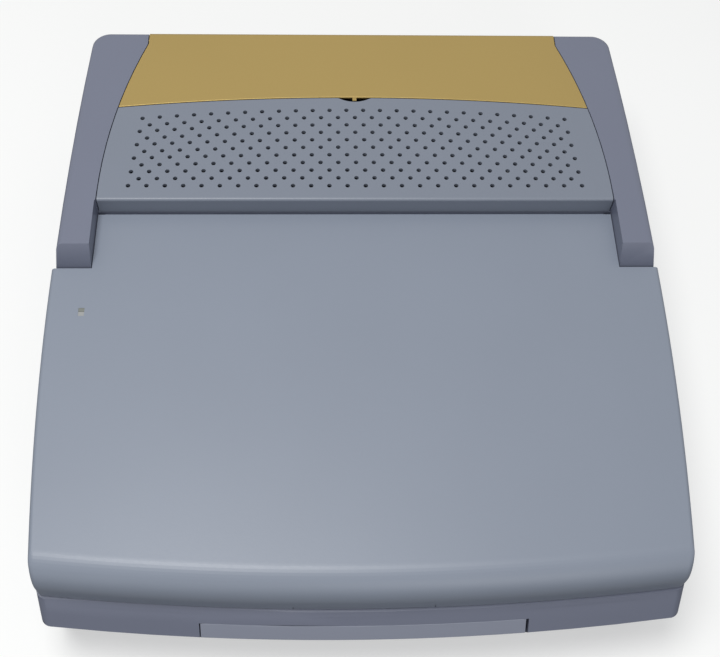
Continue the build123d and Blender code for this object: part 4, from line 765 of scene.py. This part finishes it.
def hole_field(sizes):
    """Rows of holes in a sheet: a lattice of points between the holes, whose rows flatten from the first
    bow to straight, and in every cell a ring of points joined to the cell's six lattice points."""
    rows, count = sizes.hole_rows, sizes.row_holes
    steps = np.arange(-count, count + 1)
    line = np.arange(rows + 1) - 0.5

    def row_y(row, x, half):
        bow = sizes.hole_bow * (1 - row / (rows - 1))
        return sizes.hole_first_y - sizes.hole_row_pitch * row - bow * (x / half) ** 2

    pitch = (sizes.hole_pitch + sizes.hole_growth * line)[:, None]
    lattice_x = pitch * steps[None] / 2
    lattice_y = row_y(line[:, None], lattice_x, pitch * (count - 1) / 2)

    row = np.repeat(np.arange(rows), count)
    place = np.tile(np.arange(count), rows)
    column = 1 + 2 * place + row % 2
    kept = column < 2 * count
    row, column = row[kept], column[kept]
    own_pitch = sizes.hole_pitch + sizes.hole_growth * row
    x = own_pitch * (column - count) / 2
    y = row_y(row, x, own_pitch * (count - 1 - row % 2) / 2)
    sides = sizes.hole_sides
    turn = np.arange(sides) * 2 * math.pi / sides
    ring_x = x[:, None] + sizes.hole_radius * np.cos(turn)
    ring_y = y[:, None] + sizes.hole_radius * np.sin(turn)
    return lattice_x, lattice_y, row, column, ring_x, ring_y


def cover_corner(sizes, gap=0.0):
    """Where the seam between the covers meets a cheek: each pass between the two arcs brings it closer."""
    corner_x = sizes.bay_half
    for _ in range(8):
        corner_x = float(bay_half(sizes, paper_edge(sizes, corner_x, gap)) - sizes.cover_gap)
    return corner_x


def perforated_surface(sizes):
    """Top sheet of the printer cover: the field of holes, a border out to the cheeks, the paper cover's
    bowed edge with its finger notch, and the front edge rolled over a quarter circle into the front
    face."""
    top = sizes.cover_top_z
    lattice_x, lattice_y, row, column, ring_x, ring_y = hole_field(sizes)
    lines, across = lattice_x.shape
    side_y = lattice_y[:, :1]
    side_x = bay_half(sizes, side_y) - sizes.cover_gap
    grid_x = np.concatenate([-side_x, lattice_x, side_x], axis=1)
    grid_y = np.concatenate([side_y, lattice_y, side_y], axis=1)
    front_half = sizes.bay_half - sizes.cover_gap
    front_x = np.concatenate([[-front_half], lattice_x[-1], [front_half]])
    turn = np.linspace(0, math.pi / 2, 9)
    roll = sizes.cover_roll
    face_y = np.append(sizes.bay_front_y + roll - roll * np.sin(turn), sizes.bay_front_y)
    face_z = np.append(top - roll + roll * np.cos(turn), sizes.cover_lip_z)
    width = across + 2
    shape = (len(face_y), width)
    front = np.stack([
        np.broadcast_to(front_x, shape),
        np.broadcast_to(face_y[:, None], shape),
        np.broadcast_to(face_z[:, None], shape),
    ], axis=-1)
    plate = np.stack([grid_x, grid_y, np.full(grid_x.shape, top)], axis=-1)
    sheet = np.concatenate([plate, front], axis=0)
    numbers = np.arange(sheet.shape[0] * width).reshape(-1, width)
    faces = grid_faces(numbers[lines - 1:][::-1]).tolist()
    borders = np.concatenate([
        grid_faces(numbers[:lines, :2][::-1]), grid_faces(numbers[:lines, -2:][::-1])
    ]).tolist()

    # half cells beside the ends of the short rows
    short = np.arange(1, lines - 1, 2)
    halves = [
        np.stack([numbers[short + 1, first], numbers[short + 1, first + 1],
                  numbers[short, first + 1], numbers[short, first]], axis=-1)
        for first in (1, width - 3)
    ]
    rings = len(numbers.reshape(-1)) + np.arange(ring_x.size).reshape(ring_x.shape)
    quarter = sizes.hole_sides // 4
    eighth = quarter // 2
    rear_row, front_row, middle = row, row + 1, column + 1
    corners = {
        eighth: numbers[rear_row, middle + 1],
        quarter: numbers[rear_row, middle],
        quarter + eighth: numbers[rear_row, middle - 1],
        2 * quarter + eighth: numbers[front_row, middle - 1],
        3 * quarter: numbers[front_row, middle],
        3 * quarter + eighth: numbers[front_row, middle + 1],
    }
    stops = sorted(corners)
    cells = []
    for first, second in zip(stops, stops[1:] + [stops[0] + sizes.hole_sides]):
        inner = np.arange(second, first - 1, -1) % sizes.hole_sides
        outer = np.stack([corners[first], corners[second % sizes.hole_sides]], axis=-1)
        cells.extend(np.concatenate([outer, rings[:, inner]], axis=1).tolist())

    # rear border: several points of the bowed edge to each step of the lattice
    finer = 4
    corner_x = cover_corner(sizes, sizes.covers_split)
    base_x = np.concatenate([[-corner_x], lattice_x[0], [corner_x]])
    steps = np.diff(base_x)[:, None] * np.arange(finer)[None] / finer
    fine = np.append((base_x[:-1, None] + steps).reshape(-1), base_x[-1])
    edge_y = paper_edge(sizes, fine, sizes.covers_split)
    notch_rise = sizes.notch_depth + MM
    notch_radius = (sizes.notch_half**2 + notch_rise**2) / (2 * notch_rise)
    notch_y = sizes.paper_front_y - sizes.notch_depth + notch_radius - np.sqrt(
        np.clip(notch_radius**2 - fine**2, 0, None)
    )
    edge_y = np.where(abs(fine) < sizes.notch_half, np.minimum(edge_y, notch_y), edge_y)
    rear = np.stack([fine, edge_y, np.full(fine.shape, top)], axis=-1)
    first_rear = int(rings.max()) + 1
    spans = first_rear + np.arange(width - 1)[:, None] * finer + np.arange(finer, -1, -1)[None]
    behind = np.concatenate([numbers[0, :-1, None], numbers[0, 1:, None], spans], axis=1).tolist()

    holes = np.stack([ring_x, ring_y, np.full(ring_x.shape, top)], axis=-1)
    points = np.concatenate([sheet.reshape(-1, 3), holes.reshape(-1, 3), rear])
    return points, faces + borders + np.concatenate(halves).tolist() + cells + behind


def paper_surface(sizes):
    """Top sheet of the paper cover: from its bowed front edge, softly turned down, back between the cheeks,
    and over a quarter circle at the rear into the lip."""
    top = sizes.cover_top_z
    across = np.linspace(-1, 1, 81)[None]
    front_y = paper_edge(sizes, across * cover_corner(sizes))
    soft = sizes.edge_soft
    turn = np.linspace(0, math.pi / 2, 4)
    lip_y = front_y + soft * (1 - np.cos(turn))[:, None]
    lip_z = top - soft * (1 - np.sin(turn))[:, None] + 0 * lip_y
    share = np.linspace(0, 1, 25)[1:, None]
    flat_y = lip_y[-1:] + (sizes.rear_y - sizes.paper_roll - lip_y[-1:]) * share
    flat_z = np.full(flat_y.shape, top)
    fold = np.linspace(0, math.pi / 2, 9)[1:]
    fold_y = (sizes.rear_y - sizes.paper_roll + sizes.paper_roll * np.sin(fold))[:, None] + 0 * front_y
    fold_z = (top - sizes.paper_roll + sizes.paper_roll * np.cos(fold))[:, None] + 0 * front_y
    y = np.concatenate([lip_y, flat_y, fold_y, np.full(front_y.shape, sizes.rear_y)])
    z = np.concatenate([lip_z, flat_z, fold_z, np.full(front_y.shape, sizes.paper_lip_z)])
    x = across * (bay_half(sizes, np.broadcast_to(y[:, :1], y.shape)) - sizes.cover_gap)
    points = np.stack([x, y, z], axis=-1)
    numbers = np.arange(x.size).reshape(x.shape)
    return points.reshape(-1, 3), grid_faces(numbers).tolist()


def cover_pins(sizes, hinge_y):
    """Bosses under a cover's sides, each with the pin that turns in a cheek."""
    half, hinge_z = sizes.boss_half, sizes.cover_hinge_z
    boss_end = float(bay_half(sizes, hinge_y + half)) - sizes.cover_gap
    pin_end = float(bay_half(sizes, hinge_y)) + sizes.pin_reach
    under = sizes.cover_top_z - sizes.cover_thickness
    parts = []
    for side in (-1, 1):
        span = sorted((side * (boss_end - sizes.boss_width), side * boss_end))
        parts.append(box_part(*span, hinge_y - half, hinge_y + half, hinge_z - sizes.boss_drop, under))
        reach = sorted((side * (boss_end - sizes.pin_root), side * pin_end))
        parts.append(rod_part(*reach, hinge_y, hinge_z, sizes.pin_radius))
    return parts


# ---------------------------------------------------------------- operators
class WP_OT_finishes(bpy.types.Operator):
    """Mixes every finish and gives it to the plain solids"""

    bl_idname = "word_processor.finishes"
    bl_label = "Finishes"

    def execute(self, context):
        colours = context.scene.word_processor_colours
        sizes = context.scene.word_processor_sizes
        keycap = {"grain": 1400.0, "relief": 0.00001, "spread": 0.02}
        polished = {"grain": 300.0, "relief": 0.0, "spread": 0.02}
        finishes.update({
            "case_grey": moulded("lid plastic", colours.case),
            # painted shade: the same plastic as the lid, painted darker
            "shell_grey": moulded("case plastic with painted shade", colours.shell_with_painted_shade),
            # painted shade: the same plastic as the lid, painted darker
            "panel_grey": moulded("perforated cover plastic with painted shade", colours.panel),
            "cover_bronze": satin_metal("bronze paint", colours.bronze),
            "handle_grey": moulded("handle plastic", colours.handle, roughness=0.42),
            "inner_grey": moulded("inner plastic", colours.inner, roughness=0.5),
            "key_light": moulded("letter key plastic", colours.key_light, **keycap),
            "key_dark": moulded("control key plastic", colours.key_dark, **keycap),
            "steel": plated("plated steel", colours.steel),
            "hinge_steel": plated("dark hinge steel", colours.hinge, roughness=0.45),
            "rubber_black": moulded(
                "black rubber", colours.rubber, roughness=0.75, grain=700.0, relief=0.00003, spread=0.1,
                gloss=0.2,
            ),
            "gear_white": moulded(
                "nylon", colours.gear, roughness=0.38, grain=500.0, relief=0.00001, spread=0.02
            ),
            "glass_screen": moulded("screen glass", colours.glass, roughness=0.16, **polished),
            # painted glow on the pane's front half
            "window_clear": indicator_pane(
                "indicator pane with painted glow", colours.window, colours.window_dim,
                sizes.window_y + sizes.window_split, sizes.window_line,
            ),
            "light_guide": moulded("light guide", colours.gear, roughness=0.3, **polished),
            "lamp_white": moulded("lamp glass", colours.gear, roughness=0.2, **polished),
            "board_green": lacquered_board("circuit board", colours.board),
            "motor_grey": plated("motor can", colours.motor, roughness=0.38),
            "black_plastic": moulded("black plastic", colours.black, roughness=0.45),
        })
        for node in frame["nodes"].values():
            name = node.data.materials[0].name.split(".")[0]
            if name not in finishes:
                raise RuntimeError(f"no finish is named {name}")
            node.data.materials[0] = finishes[name]
        frame["nodes"]["lid_hinges"].data.materials[0] = finishes["hinge_steel"]
        return {"FINISHED"}


class WP_OT_lid(bpy.types.Operator):
    """Skin of the lid with its rolled front"""

    bl_idname = "word_processor.lid"
    bl_label = "Lid skin"

    def execute(self, context):
        sizes = context.scene.word_processor_sizes
        piece = new_piece("lid_skin", *lid_surface(sizes))
        finish_piece(piece, "case_grey", "lid", sizes.wall, sizes.edge_soft)
        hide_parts("lid_cover")
        return {"FINISHED"}


class WP_OT_perforated_cover(bpy.types.Operator):
    """Perforated cover over the printer"""

    bl_idname = "word_processor.perforated_cover"
    bl_label = "Perforated cover"

    def execute(self, context):
        sizes = context.scene.word_processor_sizes
        piece = new_piece("perforated_cover", *perforated_surface(sizes))
        finish_piece(piece, "panel_grey", "printer_lid", sizes.cover_thickness)
        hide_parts("printer_cover")
        pins = new_piece("perforated_cover_pins", *join_parts(*cover_pins(sizes, sizes.printer_hinge_y)))
        finish_piece(pins, "panel_grey", "printer_lid")
        return {"FINISHED"}


class WP_OT_paper_cover(bpy.types.Operator):
    """Metallic paper cover with its lifting tab"""

    bl_idname = "word_processor.paper_cover"
    bl_label = "Paper cover"

    def execute(self, context):
        sizes = context.scene.word_processor_sizes
        piece = new_piece("metallic_cover", *paper_surface(sizes))
        finish_piece(piece, "cover_bronze", "paper_lid", sizes.cover_thickness)
        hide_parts("paper_cover")
        tab = box_part(
            -sizes.tab_half, sizes.tab_half,
            sizes.paper_front_y - sizes.tab_ahead, sizes.paper_front_y + sizes.tab_behind,
            sizes.cover_top_z - sizes.cover_thickness, sizes.cover_top_z - sizes.tab_drop,
        )
        pins = new_piece("metallic_cover_pins", *join_parts(tab, *cover_pins(sizes, sizes.paper_hinge_y)))
        finish_piece(pins, "cover_bronze", "paper_lid")
        return {"FINISHED"}


class WP_OT_case(bpy.types.Operator):
    """Upper and lower case shells with even shading"""

    bl_idname = "word_processor.case"
    bl_label = "Case shells"

    def execute(self, context):
        sizes = context.scene.word_processor_sizes
        shells = (("top_case", "upper_case", seen_case), ("bottom_case", "lower_case", seen_front))
        for node, name, seen_form in shells:
            softened(node, name, "shell_grey", reshape=partial(seen_form, sizes))
        return {"FINISHED"}


class WP_OT_handle(bpy.types.Operator):
    """Handle bar and lid latch with soft edges"""

    bl_idname = "word_processor.handle"
    bl_label = "Handle and latch"

    def execute(self, context):
        sizes = context.scene.word_processor_sizes
        softened(
            "carry_handle", "handle_bar", "handle_grey", sizes.handle_soft, segments=3,
            reshape=partial(seen_front, sizes),
        )
        softened("lid_latch", "latch_bar", "case_grey", sizes.latch_soft)
        return {"FINISHED"}


class WP_OT_keys(bpy.types.Operator):
    """Keycaps with soft edges"""

    bl_idname = "word_processor.keys"
    bl_label = "Keycaps"

    def execute(self, context):
        sizes = context.scene.word_processor_sizes
        for node in sorted(frame["nodes"]):
            material = frame["nodes"][node].data.materials[0]
            if "key" in material.name:
                finish = "key_light" if material == finishes["key_light"] else "key_dark"
                softened(node, node + "_soft", finish, sizes.edge_soft)
        return {"FINISHED"}


class WP_OT_stage(bpy.types.Operator):
    """Pale floor, soft lights and the camera"""

    bl_idname = "word_processor.stage"
    bl_label = "Stage"

    def execute(self, context):
        colours = context.scene.word_processor_colours
        scene = context.scene
        half, depth = 4.0, 0.02
        floor = new_piece("floor", *box_part(-half, half, -half, half, -depth, 0.0))
        paint = Paint("floor paint")
        rays = paint.add("ShaderNodeLightPath")
        seen = paint.wire(rays, "Is Camera Ray") + paint.wire(rays, "Is Transmission Ray")
        floor.data.materials.append(
            paint.surface({
                "Base Color": paint.blend(seen, colours.floor_bounce, colours.floor),
                "Emission Color": paint.blend(seen, (0.0, 0.0, 0.0), (1.0, 1.0, 1.0)),
                "Emission Strength": 0.48,
                "Roughness": 0.9,
                "Specular IOR Level": 0.0,
            })
        )

        world = bpy.data.worlds.new("studio")
        world.use_nodes = True
        scene.world = world
        sky = Paint("studio", world.node_tree)
        rays = sky.add("ShaderNodeLightPath")
        seen = sky.wire(rays, "Is Camera Ray") + sky.wire(rays, "Is Glossy Ray")
        seen = seen + sky.wire(rays, "Is Transmission Ray")
        soft = sky.add("ShaderNodeBackground", None, {"Color": (0.97, 0.98, 1.0), "Strength": 0.32})
        bright = sky.add("ShaderNodeBackground", None, {"Color": (0.95, 0.95, 0.95), "Strength": 1.0})
        both = sky.add("ShaderNodeMixShader", None, {0: seen, 1: sky.wire(soft), 2: sky.wire(bright)})
        sky.add("ShaderNodeOutputWorld", None, {"Surface": sky.wire(both)})

        lamps = (
            ("ceiling lamp", (-0.22, -0.1, 1.3), 0.6, 11.6, (1.0, 0.995, 0.985)),
            ("front lamp", (0.35, -1.6, 0.9), 0.8, 3.6, (1.0, 1.0, 1.0)),
        )
        for name, place, size, power, colour in lamps:
            light = bpy.data.lights.new(name, "AREA")
            light.shape = "DISK"
            light.size = size
            light.energy = power
            light.color = colour
            lamp = bpy.data.objects.new(name, light)
            scene.collection.objects.link(lamp)
            lamp.matrix_world = (
                Matrix.Translation(place) @ (-Vector(place)).to_track_quat("-Z", "Y").to_matrix().to_4x4()
            )

        # the viewpoint: turned about the vertical, tipped down, and rolled a little
        stand = Vector((-0.021139, -0.324176, 0.606777))
        heading, dip, roll = math.radians(4.0977), math.radians(60), math.radians(-3.2924)
        forward = Vector((
            math.sin(heading) * math.cos(dip), math.cos(heading) * math.cos(dip), -math.sin(dip)
        ))
        level = Vector((math.cos(heading), -math.sin(heading), 0))
        down = forward.cross(level)
        right = math.cos(roll) * level + math.sin(roll) * down
        below = -math.sin(roll) * level + math.cos(roll) * down
        view = bpy.data.cameras.new("viewpoint")
        view.sensor_width = 36
        view.lens = 55
        view.clip_start = 0.01
        camera = bpy.data.objects.new("viewpoint", view)
        scene.collection.objects.link(camera)
        turned = Matrix((right, -below, -forward)).transposed().to_4x4()
        camera.matrix_world = Matrix.Translation(stand) @ turned
        scene.camera = camera
        scene.view_settings.view_transform = "Standard"
        return {"FINISHED"}


class WP_PT_sidebar(bpy.types.Panel):
    """Lists the pieces of the word processor"""

    bl_idname = "WP_PT_sidebar"
    bl_label = "Word processor"
    bl_space_type = "VIEW_3D"
    bl_region_type = "UI"
    bl_category = "Word processor"

    def draw(self, context):
        for operator in operators:
            self.layout.operator(operator.bl_idname)


operators = (
    WP_OT_finishes, WP_OT_lid, WP_OT_perforated_cover, WP_OT_paper_cover, WP_OT_case, WP_OT_handle,
    WP_OT_keys, WP_OT_stage,
)
classes = (WordProcessorSizes, WordProcessorColours, *operators, WP_PT_sidebar)


def register():
    for item in classes:
        bpy.utils.register_class(item)
    bpy.types.Scene.word_processor_sizes = PointerProperty(type=WordProcessorSizes)
    bpy.types.Scene.word_processor_colours = PointerProperty(type=WordProcessorColours)


def unregister():
    del bpy.types.Scene.word_processor_colours
    del bpy.types.Scene.word_processor_sizes
    for item in reversed(classes):
        bpy.utils.unregister_class(item)


def main():
    """Builds every piece in order."""
    register()
    for operator in operators:
        group, name = operator.bl_idname.split(".")
        getattr(getattr(bpy.ops, group), name)()
    bpy.context.view_layer.update()


if __name__ == "__main__":
    main()
